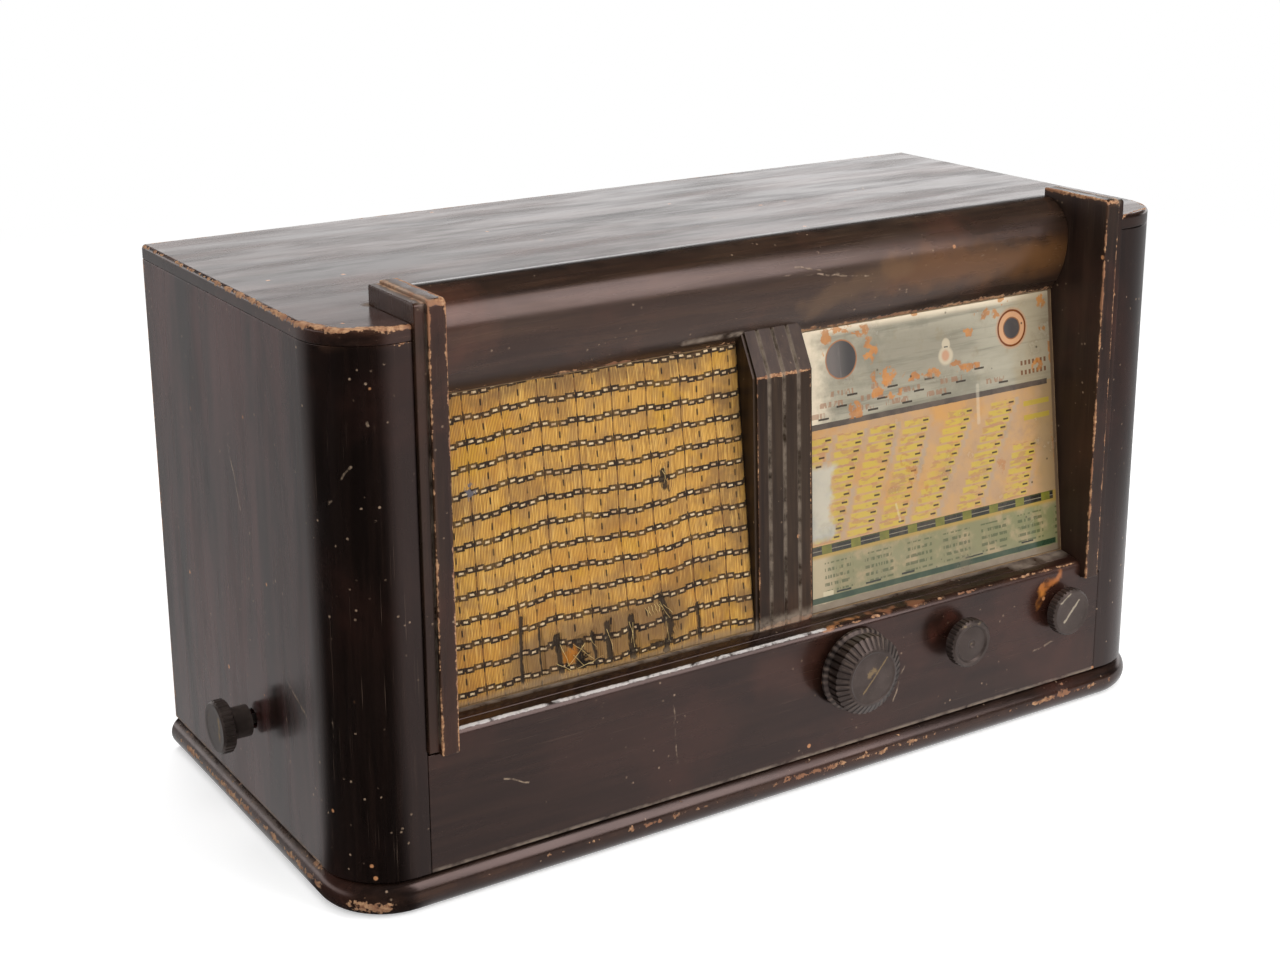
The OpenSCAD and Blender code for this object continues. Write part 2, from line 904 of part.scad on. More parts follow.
// Insulating strip on the chassis's rear wall with two plug sockets
module rear_socket_strip() {
    w = socket_pitch + 24;
    h = 18;
    t = 2;
    color("#5b3d24")
    difference() {
        union() {
            translate([socket_x - w / 2, chassis_y1, socket_z - h / 2])
                cube([w, t, h]);
            for (s = [-1, 1])
                facing_front(socket_x + s * socket_pitch / 2, chassis_y1 + t + 1, socket_z)
                    cylinder(r = socket_tube_r, h = socket_depth);
        }
        for (s = [-1, 1])
            facing_front(socket_x + s * socket_pitch / 2, chassis_y1 + t + 2, socket_z)
                cylinder(r = socket_bore_r, h = socket_depth);
    }
}

// Threaded bush and nut that carry the tuning spindle
module spindle_bush() {
    l = 14;
    color(brass)
    facing_front(tuning_x, chassis_y0 + sheet_t, shaft_z)
        difference() {
            union() {
                translate([0, 0, -l])
                    cylinder(r = bush_r, h = l + sheet_t + bush_l);
                translate([0, 0, -3])
                    cylinder(r = 2 * bush_r, h = 3);
                translate([0, 0, sheet_t])
                    cylinder(r = 2 * bush_r, h = 2.5, $fn = 6);
            }
            translate([0, 0, -l - 1])
                cylinder(r = shaft_r + run_fit, h = 2 * l + bush_l);
        }
}

// Rubber ring in the chassis's rear wall for the mains lead
module mains_grommet() {
    r = lead_r + 2;
    color("#1d1c1b")
    facing_back(lead_x, chassis_y1 - sheet_t - 2.5, socket_z)
        rotate_extrude($fn = 48)
            polygon([[lead_r, 0], [r + 2, 0], [r + 2, 2.5], [r, 2.5], [r, 2.5 + sheet_t],
                [r + 2, 2.5 + sheet_t], [r + 2, 5 + sheet_t], [lead_r, 5 + sheet_t]]);
}

// Fluted tuning knob, its back at Z = 0 and its face towards +Z
module tuning_knob_shape() {
    r = tuning_knob_r;
    h = tuning_knob_h;
    flange = 3.5;
    cone = 5;
    face_r = r - 7;
    flute_r = 1.1;
    difference() {
        rotate_extrude($fn = 96)
            polygon(concat(
                [[shaft_r, 0], [r - 1, 0]],
                arc(r - 0.5, flange / 2, flange / 2, -60, 60, 4),
                [[r - 2, flange + 1], [r - 0.6, flange + 2], [r - 0.3, h - cone],
                 [face_r, h - 0.4], [face_r - 1.5, h], [face_r - 3, h - 0.6],
                 [0, h - 0.2], [0, h - 4], [shaft_r, h - 4]]));
        for (k = [0:tuning_flutes - 1])
            rotate([0, 0, k * 360 / tuning_flutes]) {
                translate([r + 0.2, 0, flange + 1])
                    cylinder(r = flute_r, h = h, $fn = 24);
                translate([r + 0.4, 0, h - cone + 0.5])
                    rotate([0, -atan2(r - face_r - 0.3, cone - 0.4), 0])
                        translate([0, 0, -1])
                            cylinder(r = flute_r, h = 9, $fn = 24);
            }
    }
}

// Small ribbed knob with a neck, its back at Z = 0
module small_knob(neck, dish) {
    r = knob_r;
    h = neck + knob_cap_t;
    rim = 1.6;
    rib_r = 0.9;
    difference() {
        rotate_extrude($fn = 96)
            polygon([[shaft_r, 0], [knob_neck_r, 0], [knob_neck_r, neck],
                [r - 1, neck], [r, neck + 1], [r, h - rim], [r - rim, h],
                [r - 2.2 * rim, h], [r - 3 * rim, h - dish], [3, h - dish * 0.6],
                [2, h - dish], [0, h - dish], [0, h - 4], [shaft_r, h - 4]]);
        for (k = [0:knob_ribs - 1])
            rotate([0, 0, k * 360 / knob_ribs])
                translate([r + 0.25, 0, neck - 1])
                    cylinder(r = rib_r, h = knob_cap_t, $fn = 24);
    }
}

knob_back_y = front_y - knob_gap;

module tuning_knob() {
    color(bakelite)
    facing_front(tuning_x, knob_back_y, shaft_z)
        tuning_knob_shape();
}

module volume_knob() {
    color(bakelite)
    facing_front(volume_x, knob_back_y, shaft_z)
        small_knob(volume_neck, 1.2);
}

module tone_knob() {
    color(bakelite)
    facing_front(tone_x, knob_back_y, shaft_z)
        small_knob(tone_neck, 0.3);
}

module wave_knob() {
    color(bakelite)
    translate([-side_x - knob_gap + 0.5, wave_y, shaft_z])
        rotate([0, -90, 0])
            small_knob(wave_neck, 0.3);
}

// Spindle from the tuning knob through its bush, waisted under the cord
module tuning_shaft() {
    y0 = knob_back_y - tuning_knob_h + 4;
    waist = spindle_r - cord_r - gap;
    half = 2;
    rim = spindle_r + 2;
    color(steel)
    facing_back(tuning_x, 0, shaft_z)
        rotate_extrude($fn = 48)
            polygon([[0, y0], [shaft_r, y0], [shaft_r, drum_y - half - 2],
                [rim, drum_y - half - 2], [rim, drum_y - half], [waist, drum_y - half + 1],
                [waist, drum_y + half - 1], [rim, drum_y + half], [rim, drum_y + half + 1],
                [shaft_r - 0.5, drum_y + half + 1], [shaft_r - 0.5, spindle_end_y],
                [0, spindle_end_y]]);
}

module control_shaft(x, neck) {
    y0 = knob_back_y - neck - knob_cap_t + 4;
    facing_back(x, y0, shaft_z)
        cylinder(r = shaft_r, h = chassis_y0 + 12 - y0);
}

module volume_shaft() {
    color(steel) control_shaft(volume_x, volume_neck);
}

module tone_shaft() {
    color(steel) control_shaft(tone_x, tone_neck);
}

// Round body behind the sheet and a bush through it, drawn towards -Z
module control_body(body_r, body_h) {
    difference() {
        union() {
            cylinder(r = bush_r, h = sheet_t + bush_l);
            translate([0, 0, sheet_t])
                cylinder(r = 2 * bush_r, h = 2.5, $fn = 6);
            translate([0, 0, -body_h])
                cylinder(r = body_r, h = body_h);
        }
        translate([0, 0, -12])
            cylinder(r = shaft_r + run_fit, h = 40);
    }
}

module potentiometers() {
    color("#8f8f8c")
    for (x = [volume_x, tone_x])
        facing_front(x, chassis_y0 + sheet_t, shaft_z)
            control_body(16, 16);
}

module wave_switch() {
    color("#a07a4c")
    translate([chassis_x0 + sheet_t, wave_y, shaft_z])
        rotate([0, -90, 0])
            difference() {
                union() {
                    control_body(20, 16);
                    for (k = [1:3])
                        translate([0, 0, -16 - 10 * k])
                            cylinder(r = 18, h = 3);
                    for (s = [-1, 1])
                        translate([s * 14, 0, -46])
                            cylinder(r = 2, h = 31, $fn = 24);
                }
                translate([0, 0, -50])
                    cylinder(r = shaft_r + run_fit, h = 60);
            }
}

module wave_shaft() {
    x0 = -side_x - knob_gap + 0.5 - wave_neck - knob_cap_t + 4;
    color(steel)
    translate([x0, wave_y, shaft_z])
        rotate([0, 90, 0])
            cylinder(r = shaft_r, h = chassis_x0 + 50 - x0);
}

gang_y0 = drum_y + 14;
gang_l = 62;
gang_w = 2 * (vane_r + 5);
gang_plate = 2;
gang_low = drum_z - vane_r - 7;
vane_t = 0.7;
vane_pitch = gang_l / 2 / (vanes + 2.5);

// The two banks of vanes start at these depths
function bank_y(k) = gang_y0 + gang_plate + k * gang_l / 2 + vane_pitch;

module half_disc(r, t) {
    rotate([90, 0, 0])
        translate([0, 0, -t])
            intersection() {
                cylinder(r = r, h = t);
                translate([-r - 1, -r - 1, -1])
                    cube([r + 1, 2 * r + 2, t + 2]);
            }
}

// Moving vanes on their shaft; closed at rest, on the left of the axis
module gang_rotor() {
    color("#b5b6b2") {
        facing_back(drum_x, gang_y0 - 12, drum_z)
            cylinder(r = shaft_r, h = gang_l + 12 + gang_plate);
        for (k = [0, 1])
            for (i = [0:vanes - 1])
                translate([drum_x, bank_y(k) + i * vane_pitch, drum_z])
                    half_disc(vane_r, vane_t);
    }
}

// Fixed vanes between the moving ones, on two bars that join the frame
module gang_stator() {
    r = vane_r + 2.5;
    bar = (r - 0.6) * sin(45);
    left = gang_w / 2 - gang_plate;
    l = (vanes - 2) * vane_pitch + vane_t;
    color("#a3a49f")
    for (k = [0, 1])
        translate([drum_x, bank_y(k) + vane_pitch / 2, drum_z]) {
            difference() {
                for (i = [0:vanes - 2])
                    translate([0, i * vane_pitch, 0])
                        half_disc(r, vane_t);
                translate([0, -1, 0])
                    rotate([-90, 0, 0])
                        cylinder(r = 8, h = l + 2);
                translate([-5, -1, -r - 1])
                    cube([10, l + 2, 2 * r + 2]);
            }
            for (s = [-1, 1]) {
                translate([-bar, 0, s * bar])
                    rotate([-90, 0, 0])
                        cylinder(r = 1.2, h = l, $fn = 24);
                translate([-left, 2 * vane_pitch, s > 0 ? bar - 0.6 : -bar - 3.4])
                    cube([left - bar, 4, 4]);
            }
        }
}

// Frame of the tuning capacitor: two end plates, a side, a floor and feet
module gang_frame() {
    t = gang_plate;
    h = 2 * (drum_z - gang_low);
    color("#8d9090")
    difference() {
        union() {
            for (y = [gang_y0, gang_y0 + gang_l - t])
                translate([drum_x - gang_w / 2, y, gang_low])
                    cube([gang_w, t, h - 3]);
            translate([drum_x - gang_w / 2, gang_y0, gang_low])
                cube([gang_w, gang_l, t]);
            translate([drum_x - gang_w / 2, gang_y0, gang_low])
                cube([t, gang_l, h - 6]);
            for (x = [-1, 1])
                for (y = [8, gang_l - 8])
                    translate([drum_x + x * (gang_w / 2 - 8), gang_y0 + y, chassis_z])
                        cylinder(r = 4, h = gang_low - chassis_z + 1, $fn = 32);
        }
        facing_back(drum_x, gang_y0 - 1, drum_z)
            cylinder(r = shaft_r + run_fit, h = gang_l + 2);
    }
}

module dial_drum() {
    r = drum_r;
    t = drum_t / 2;
    low = cord_r + gap;
    color("#8b8f90")
    facing_back(drum_x, drum_y, drum_z)
        difference() {
            union() {
                rotate_extrude($fn = 96)
                    polygon([[shaft_r, -t], [r + 1.5, -t], [r + 1.5, -t + 0.8],
                        [r - low, -0.9], [r - low, 0.9], [r + 1.5, t - 0.8], [r + 1.5, t],
                        [shaft_r, t]]);
                difference() {
                    cylinder(r = 7, h = 10);
                    translate([0, 0, -1])
                        cylinder(r = shaft_r, h = 12);
                }
            }
            for (a = [0:60:300])
                rotate([0, 0, a])
                    translate([r * 0.58, 0, -t - 1])
                        cylinder(r = 11, h = drum_t + 2);
        }
}

module pulley() {
    low = cord_r + gap;
    r = pulley_r;
    color(brass)
    difference() {
        rotate_extrude($fn = 48)
            polygon([[pin_r + run_fit, -2], [r + 1.5, -2], [r + 1.5, -1.6], [r - low, -0.8],
                [r - low, 0.8], [r + 1.5, 1.6], [r + 1.5, 2], [pin_r + run_fit, 2]]);
        for (a = [0:120:240])
            rotate([0, 0, a])
                translate([4.6, 0, -3])
                    cylinder(r = 1.2, h = 6, $fn = 24);
    }
}

pin_r = 1.5;

module left_pulley() {
    facing_back(pulley_left_x, drum_y, pulley_z) pulley();
}

module right_pulley() {
    facing_back(pulley_right_x, drum_y, pulley_z) pulley();
}

// Angle at which a straight run leaves one circle for another
function leave(c0, r0, c1, r1) =
    let (d = c1 - c0) atan2(d[1], d[0]) + acos((r0 - r1) / norm(d));

// The cord's closed route, moved out by a distance: pulleys, spindle, drum
module cord_outline(out) {
    s = [tuning_x, shaft_z];
    l = [pulley_left_x, pulley_z];
    r = [pulley_right_x, pulley_z];
    d = [drum_x, drum_z];
    a_sl = leave(s, spindle_r, l, pulley_r);
    a_rd = leave(r, pulley_r, d, drum_r);
    a_ds = leave(d, drum_r, s, spindle_r);
    polygon(concat(
        arc(r[0], r[1], pulley_r + out, a_rd, 90, 16),
        arc(l[0], l[1], pulley_r + out, 90, a_sl, 12),
        arc(s[0], s[1], spindle_r + out, a_sl, a_ds + 360, 12),
        arc(d[0], d[1], drum_r + out, a_ds, a_rd, 24)));
}

module dial_cord() {
    color("#cdbb8c")
    run_y(drum_y - cord_r, drum_y + cord_r)
        difference() {
            cord_outline(cord_r);
            cord_outline(-cord_r);
        }
}

// Rod on which the pointer's carriage slides
module pointer_rail() {
    color(steel)
    translate([plate_x0 + bracket_t, rail_y, rail_z])
        rotate([0, 90, 0])
            cylinder(r = rail_r, h = plate_x1 - plate_x0 - 2 * bracket_t);
}

bracket_t = 1.5;

// Carriage on the rail with a clip over the cord and a needle before the plate
module pointer() {
    w = 8;
    needle_y = board_t + 1;
    arm_z = cord_z + 0.5;
    arm_y = face_y(arm_z) + needle_y;
    color("#c8402c")
    difference() {
        union() {
            translate([needle_x - w / 2, rail_y - 3, rail_z - 4])
                cube([w, 6, 12]);
            translate([needle_x - w / 2, rail_y + 2, cord_z - 2.5])
                cube([w, drum_y - rail_y, 4.5]);
            translate([needle_x - 2, arm_y, arm_z])
                cube([4, rail_y - arm_y, 1.5]);
            on_face()
                translate([needle_x - 0.8, needle_y, plate_v + 6])
                    cube([1.6, 1.2, (arm_z - foot_z) / cos(baffle_lean) - plate_v - 3.5]);
        }
        translate([needle_x - w, rail_y, rail_z])
            rotate([0, 90, 0])
                cylinder(r = rail_r + run_fit, h = 2 * w);
        translate([needle_x - w, drum_y, cord_z])
            rotate([0, 90, 0])
                cylinder(r = cord_r + gap, h = 2 * w, $fn = 24);
    }
}

// Reflector plate behind the dial with the brackets of rail, pulleys and eye
module dial_backplate() {
    t = 1;
    y0 = board_t + plate_gap;
    color("#c9c7bd") {
        on_face()
            difference() {
                union() {
                    translate([plate_x0, y0, plate_v])
                        cube([plate_x1 - plate_x0, t, plate_h]);
                    translate([plate_x0, board_t, plate_v])
                        cube([t, plate_gap + t, window_v - plate_v + 5]);
                    translate([plate_x1 - t, board_t, plate_v])
                        cube([t, plate_gap + t, plate_h]);
                    translate([plate_x0, board_t + 3, window_v - 4])
                        cube([eye_x - eye_r - plate_x0, 8, 8]);
                    translate([eye_x, board_t + 3, window_v])
                        rotate([-90, 0, 0])
                            cylinder(r = eye_r + 1.5, h = 8);
                }
                for (x = lamp_places)
                    translate([x, y0 - 1, lamp_v])
                        rotate([-90, 0, 0])
                            cylinder(r = 7, h = t + 2);
                translate([eye_x, 0, window_v])
                    rotate([-90, 0, 0])
                        cylinder(r = eye_r, h = 40);
            }
        backplate_bracket(plate_x0, plate_x0, pulley_left_x);
        backplate_bracket(plate_x1 - bracket_t, plate_x1, pulley_right_x);
    }
}

lamp_places = [plate_x0 + 45, plate_x1 - 45];
lamp_v = plate_v + plate_h - 14;

// Upright tab for the rail's end, with a wing that holds a pulley's pin
module backplate_bracket(x0, x_wing, x_pin) {
    low = rail_z - 9;
    high = rail_z + 4;
    rear = rail_y + 3;
    wing = 1.2;
    difference() {
        translate([x0, face_y(low) + board_t, low])
            cube([bracket_t, rear - face_y(low) - board_t, high - low]);
        on_face()
            translate([x0 - 1, -20, 0])
                cube([bracket_t + 2, 20 + board_t + plate_gap + 0.5, 300]);
    }
    translate([min(x0, x_pin - 4), rear - wing, pulley_z - 4])
        cube([max(x0 + bracket_t, x_pin + 4) - min(x0, x_pin - 4), wing, 8]);
    facing_back(x_pin, rear - e, pulley_z)
        cylinder(r = pin_r, h = drum_y + 3 - rear + e, $fn = 32);
    facing_back(x_pin, rear - e, pulley_z)
        cylinder(r = pin_r + 1.5, h = drum_y - 2.3 - rear + e, $fn = 32);
}

// Indicator valve lying behind the round window
module tuning_indicator() {
    l = 78;
    color("#7d8f86")
    on_face()
        translate([eye_x, board_t + 1, window_v])
            rotate([-90, 0, 0])
                rotate_extrude()
                    polygon(concat([[0, 0]],
                        [for (a = [20:20:80]) [(eye_r - 0.5) * sin(a), 1.8 * (1 - cos(a))]],
                        [[eye_r, 2], [eye_r, 50], [eye_r - 2, 54], [eye_r - 2, 58],
                         [eye_r, 58], [eye_r, l], [0, l]]));
}

// Small bulbs in clips at the plate's two upper holes
module dial_lamps() {
    y0 = board_t + plate_gap;
    color("#d9c88a")
    on_face()
    for (x = lamp_places)
        translate([x, y0 + 10, lamp_v])
            rotate([90, 0, 0])
                rotate_extrude($fn = 32)
                    polygon(concat([[0, 0], [5, 0], [5, 6], [7.8, 6], [7.8, 9], [4, 9]],
                        arc(0, 12.5, 4, 0, 90, 6)));
}

speaker_out = 92;
basket_depth = 52;
magnet_r = 38;

// Frame of the loudspeaker: Z runs into the set from the board's rear face
module on_speaker() {
    on_face()
        translate([speaker_x, board_t, speaker_v])
            rotate([-90, 0, 0])
                children();
}

module speaker_screw_places() {
    for (a = [45:90:315])
        on_speaker()
            rotate([0, 0, a])
                translate([speaker_out - 5, 0, 0])
                    children();
}

module speaker_cone() {
    t = 0.8;
    coil_r = 13;
    color("#3c362f")
    on_speaker()
    difference() {
        rotate_extrude($fn = 96)
            polygon(concat(
                [[speaker_out - 1, 0], [speaker_out - 1, t], [74, t]],
                [[70, 2.6 + t], [67, t + 0.4], [coil_r + 1, 44], [coil_r + 1, 50],
                 [coil_r, 50], [coil_r, 41]],
                [for (a = [0:15:75]) [coil_r * cos(a), 41 - 6 * sin(a)]],
                [[0, 35], [0, 34]],
                [for (a = [75:-15:15]) [(coil_r + 1) * cos(a), 41 - 7 * sin(a)]],
                [[coil_r + 1, 40.5], [67, -0.6 + t], [70, 2.6], [74, 0]]));
        for (a = [45:90:315])
            rotate([0, 0, a])
                translate([speaker_out - 5, 0, -1])
                    cylinder(r = screw_r + gap, h = 3, $fn = 24);
    }
}

module speaker_basket() {
    z0 = 0.8;
    t = 1.5;
    neck_r = 36;
    color("#5c605e")
    on_speaker()
    difference() {
        rotate_extrude($fn = 96)
            polygon([[78, z0], [speaker_out, z0], [speaker_out, z0 + t], [82, z0 + t],
                [80, z0 + 8], [neck_r, basket_depth + z0], [16, basket_depth + z0],
                [16, basket_depth + z0 - t], [neck_r - 1, basket_depth + z0 - t],
                [78, z0 + 8]]);
        for (a = [0:60:300])
            rotate([0, 0, a])
                translate([60, 0, 28])
                    rotate([0, 46, 0])
                        cylinder(r = 15, h = 30, center = true, $fn = 48);
        for (a = [45:90:315])
            rotate([0, 0, a])
                translate([speaker_out - 5, 0, -1])
                    cylinder(r = screw_r + gap, h = 5, $fn = 24);
    }
}

module speaker_magnet() {
    z0 = basket_depth + 0.8;
    color("#6a4f3a")
    on_speaker()
        rotate_extrude($fn = 64)
            polygon([[0, z0], [magnet_r, z0], [magnet_r, z0 + 6], [magnet_r - 3, z0 + 6],
                [magnet_r - 3, z0 + 26], [magnet_r, z0 + 26], [magnet_r, z0 + 32],
                [6, z0 + 32], [6, z0 + 35], [0, z0 + 35]]);
}

module speaker_screws() {
    color(steel)
    speaker_screw_places()
        translate([0, 0, 2.3])
            wood_screw(9, screw_r, 3.6);
}

base_board();
left_side();
right_side();
front_panel();
top_panel();
top_roll();
sill();
left_fin();
right_fin();
fin_strips();
baffle_board();
pilaster();
speaker_cloth();
dial_glass();
back_battens();
back_cover();
back_cover_screws();
chassis_runners();
chassis_bolts();
tuning_knob();
tuning_shaft();
volume_knob();
volume_shaft();
tone_knob();
tone_shaft();
potentiometers();
wave_knob();
wave_shaft();
wave_switch();
dial_drum();
gang_rotor();
gang_stator();
gang_frame();
left_pulley();
right_pulley();
dial_cord();
pointer();
pointer_rail();
dial_backplate();
dial_lamps();
chassis();
mains_transformer_core();
mains_transformer_coil();
smoothing_capacitors();
if_cans();
valve_holders();
mixer_valve();
if_valve();
audio_valve();
output_valve();
rectifier_valve();
tuning_indicator();
speaker_cone();
speaker_basket();
speaker_magnet();
speaker_screws();
output_transformer();
rear_socket_strip();
spindle_bush();
mains_grommet();
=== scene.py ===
"""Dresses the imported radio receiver: cabinet, cloth, dial, knobs and the works inside."""

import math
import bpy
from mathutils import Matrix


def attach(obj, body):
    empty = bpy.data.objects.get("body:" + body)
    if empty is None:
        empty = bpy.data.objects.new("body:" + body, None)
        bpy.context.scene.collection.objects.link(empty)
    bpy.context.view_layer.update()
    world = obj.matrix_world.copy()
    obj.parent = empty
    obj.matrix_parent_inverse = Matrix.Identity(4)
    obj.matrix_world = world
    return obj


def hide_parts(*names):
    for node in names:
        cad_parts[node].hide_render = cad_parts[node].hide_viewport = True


bl_info = {
    "name": "Radio receiver",
    "version": (1, 0, 0),
    "blender": (4, 5, 0),
    "location": "3D View > Sidebar > Radio",
    "description": "Builds a worn table radio with its dial, cloth, knobs and chassis",
    "category": "Object",
}

import bmesh
import bpy
from mathutils import Matrix, Vector, noise

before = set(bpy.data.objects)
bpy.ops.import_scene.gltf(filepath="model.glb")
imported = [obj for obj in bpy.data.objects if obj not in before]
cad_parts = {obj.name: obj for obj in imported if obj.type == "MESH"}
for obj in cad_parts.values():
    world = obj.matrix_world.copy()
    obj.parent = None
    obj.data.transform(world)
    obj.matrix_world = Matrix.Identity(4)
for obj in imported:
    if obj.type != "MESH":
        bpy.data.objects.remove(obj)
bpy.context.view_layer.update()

MM, TO_MM = 0.001, 1000
HALF = Vector((0.5, 0.5, 0.5))
X_RUN, Y_RUN, Z_RUN = (1, 0, 0), (0, 1, 0), (0, 0, 1)

# The leaning face of cloth and dial: its angle, its foot and its two directions
LEAN = math.radians(7.4)
FOOT = Vector((0, -0.117, 0.1065))
UP_LEAN = Vector((0, math.sin(LEAN), math.cos(LEAN)))
INTO_LEAN = Vector((0, math.cos(LEAN), -math.sin(LEAN)))
FOOT_UP = FOOT.dot(UP_LEAN) * TO_MM


def lean(x, y, v):
    """A point of the leaning face, in metres: across, into the set, up the lean."""
    return Vector((x, 0, 0)) + FOOT + y * INTO_LEAN + v * UP_LEAN


# Nodes of a material


class Signal:
    """A value that runs between shader nodes, for use in plain arithmetic."""

    def __init__(self, nodes, socket):
        self.nodes = nodes
        self.socket = socket

    def __add__(self, other):
        return self.nodes.calc("ADD", self, other)

    def __radd__(self, other):
        return self.nodes.calc("ADD", other, self)

    def __sub__(self, other):
        return self.nodes.calc("SUBTRACT", self, other)

    def __rsub__(self, other):
        return self.nodes.calc("SUBTRACT", other, self)

    def __mul__(self, other):
        return self.nodes.calc("MULTIPLY", self, other)

    def __truediv__(self, other):
        return self.nodes.calc("DIVIDE", self, other)

    def __abs__(self):
        return self.nodes.calc("ABSOLUTE", self)


class Nodes:
    """Short ways to add shader nodes to a tree."""

    def __init__(self, tree):
        self.tree = tree
        self._place = None

    def add(self, kind, inputs=None, out=0, **settings):
        node = self.tree.nodes.new("ShaderNode" + kind)
        for key, value in settings.items():
            setattr(node, key, value)
        for key, value in (inputs or {}).items():
            self.join(value, node.inputs[key])
        return Signal(self, node.outputs[out])

    def join(self, value, socket):
        """Links a signal or a bare socket, or sets a plain value."""
        if isinstance(value, Signal):
            value = value.socket
        if isinstance(value, bpy.types.NodeSocket):
            self.tree.links.new(value, socket)
        elif value is not None:
            if socket.type == "RGBA" and len(value) == 3:
                value = (*value, 1)
            socket.default_value = value

    def place(self):
        """Object coordinates, in metres."""
        if self._place is None:
            self._place = self.add("TexCoord", out=3)
        return self._place

    def calc(self, operation, a, b=0.0, clamp=False):
        return self.add("Math", {0: a, 1: b}, operation=operation, use_clamp=clamp)

    def fract(self, value):
        return self.calc("FRACT", value)

    def sine(self, value):
        return self.calc("SINE", value)

    def nearest(self, value):
        """The nearest whole number."""
        return self.calc("ROUND", value)

    def vector(self, operation, a, b=None, out=0):
        inputs = {0: a}
        if b is not None:
            inputs[3 if operation == "SCALE" else 1] = b
        return self.add("VectorMath", inputs, out=out, operation=operation)

    def along(self, direction, offset=0.0):
        """Place along a direction, in millimetres."""
        found = self.vector("DOT_PRODUCT", self.place(), Vector(direction) * TO_MM, out=1)
        return found + offset if offset else found

    def noise(self, scale, detail=3.0, rough=0.55, stretch=None, bend=0.0, at=None):
        at = at or self.place()
        if stretch:
            at = self.vector("MULTIPLY", at, Vector(stretch))
        return self.add("TexNoise", {"Vector": at, "Scale": scale, "Detail": detail,
                                     "Roughness": rough, "Distortion": bend})

    def push(self, scale, detail, amount, rough=0.5, at=None):
        """A random step in every direction."""
        wild = self.add("TexNoise", {"Vector": at or self.place(), "Scale": scale,
                                     "Detail": detail, "Roughness": rough}, out=1)
        return self.vector("SCALE", self.vector("SUBTRACT", wild, HALF), amount)

    def cells(self, scale):
        """Distance to the nearest of many scattered points."""
        return self.add("TexVoronoi", {"Vector": self.place(), "Scale": scale})

    def step(self, value, low, high):
        """0 below low, 1 above high, smooth between; falls where low is above high."""
        return self.add("MapRange", {"Value": value, "From Min": low, "From Max": high},
                        interpolation_type="SMOOTHSTEP")

    def band(self, value, low, high, soft=0.12):
        """1 between low and high, with soft borders."""
        up = self.step(value, low - soft, low + soft)
        return up * self.step(value, high + soft, high - soft)

    def mix(self, factor, a, b):
        return self.add("Mix", {0: factor, 6: a, 7: b}, out=2, data_type="RGBA")

    def blend(self, factor, a, b):
        return self.add("Mix", {0: factor, 2: a, 3: b}, data_type="FLOAT")

    def most(self, *values):
        """The largest of several values."""
        total = values[0]
        for value in values[1:]:
            total = self.calc("MAXIMUM", total, value)
        return total

    def length(self, vector):
        return self.vector("LENGTH", vector, out=1)

    def split(self, vector):
        parts = self.add("SeparateXYZ", {0: vector}).socket.node.outputs
        return [Signal(self, part) for part in parts]

    def pair(self, x, y):
        return self.add("CombineXYZ", {0: x, 1: y})

    def group(self, tree, **inputs):
        node = self.tree.nodes.new("ShaderNodeGroup")
        node.node_tree = tree
        for key, value in inputs.items():
            self.join(value, node.inputs[key])
        return Signal(self, node.outputs[0])


class Finish(Nodes):
    """A material under the principled shader, built up layer on layer."""

    def __init__(self, name):
        self.material = bpy.data.materials.new(name)
        self.material.use_nodes = True
        super().__init__(self.material.node_tree)
        self.shader = self.tree.nodes["Principled BSDF"]
        self.colour = None
        self.normal = None

    def lay(self, factor, tint, amount=1.0):
        """Lays a tint over the colour that is there."""
        if amount != 1:
            factor = factor * amount
        self.colour = self.mix(factor, self.colour, tint)

    def bump(self, height, depth, strength=1.0):
        """Adds relief; depth in millimetres."""
        inputs = {"Height": height, "Distance": depth * MM, "Strength": strength}
        if self.normal:
            inputs["Normal"] = self.normal
        self.normal = self.add("Bump", inputs)

    def done(self, rough, **sockets):
        """Sets the shader's sockets and gives the material."""
        self.join(self.colour, self.shader.inputs["Base Color"])
        self.join(rough, self.shader.inputs["Roughness"])
        for key, value in sockets.items():
            self.join(value, self.shader.inputs[key.replace("_", " ")])
        if self.normal:
            self.join(self.normal, self.shader.inputs["Normal"])
        return self.material


def new_group(name, inputs, make):
    """A node group with one output; inputs maps a name to FLOAT or VECTOR."""
    if name in bpy.data.node_groups:
        return bpy.data.node_groups[name]
    tree = bpy.data.node_groups.new(name, "ShaderNodeTree")
    kinds = {"FLOAT": "NodeSocketFloat", "VECTOR": "NodeSocketVector"}
    for key, kind in inputs.items():
        tree.interface.new_socket(key, in_out="INPUT", socket_type=kinds[kind])
    tree.interface.new_socket("Value", in_out="OUTPUT", socket_type="NodeSocketFloat")
    entry = tree.nodes.new("NodeGroupInput")
    nodes = Nodes(tree)
    result = make(nodes, {key: Signal(nodes, entry.outputs[key]) for key in inputs})
    nodes.join(result, tree.nodes.new("NodeGroupOutput").inputs[0])
    return tree


def line_group():
    """1 on the line between two points, falling to 0 at its reach."""
    def make(n, i):
        rel = n.vector("SUBTRACT", i["Place"], i["Start"])
        span = n.vector("SUBTRACT", i["End"], i["Start"])
        along = n.calc("DIVIDE", n.vector("DOT_PRODUCT", rel, span, out=1),
                       n.vector("DOT_PRODUCT", span, span, out=1), clamp=True)
        away = n.vector("SUBTRACT", rel, n.vector("SCALE", span, along))
        return n.calc("SUBTRACT", 1.0, n.length(away) / i["Reach"], clamp=True)
    return new_group("Near a line", {"Place": "VECTOR", "Start": "VECTOR", "End": "VECTOR",
                                     "Reach": "FLOAT"}, make)


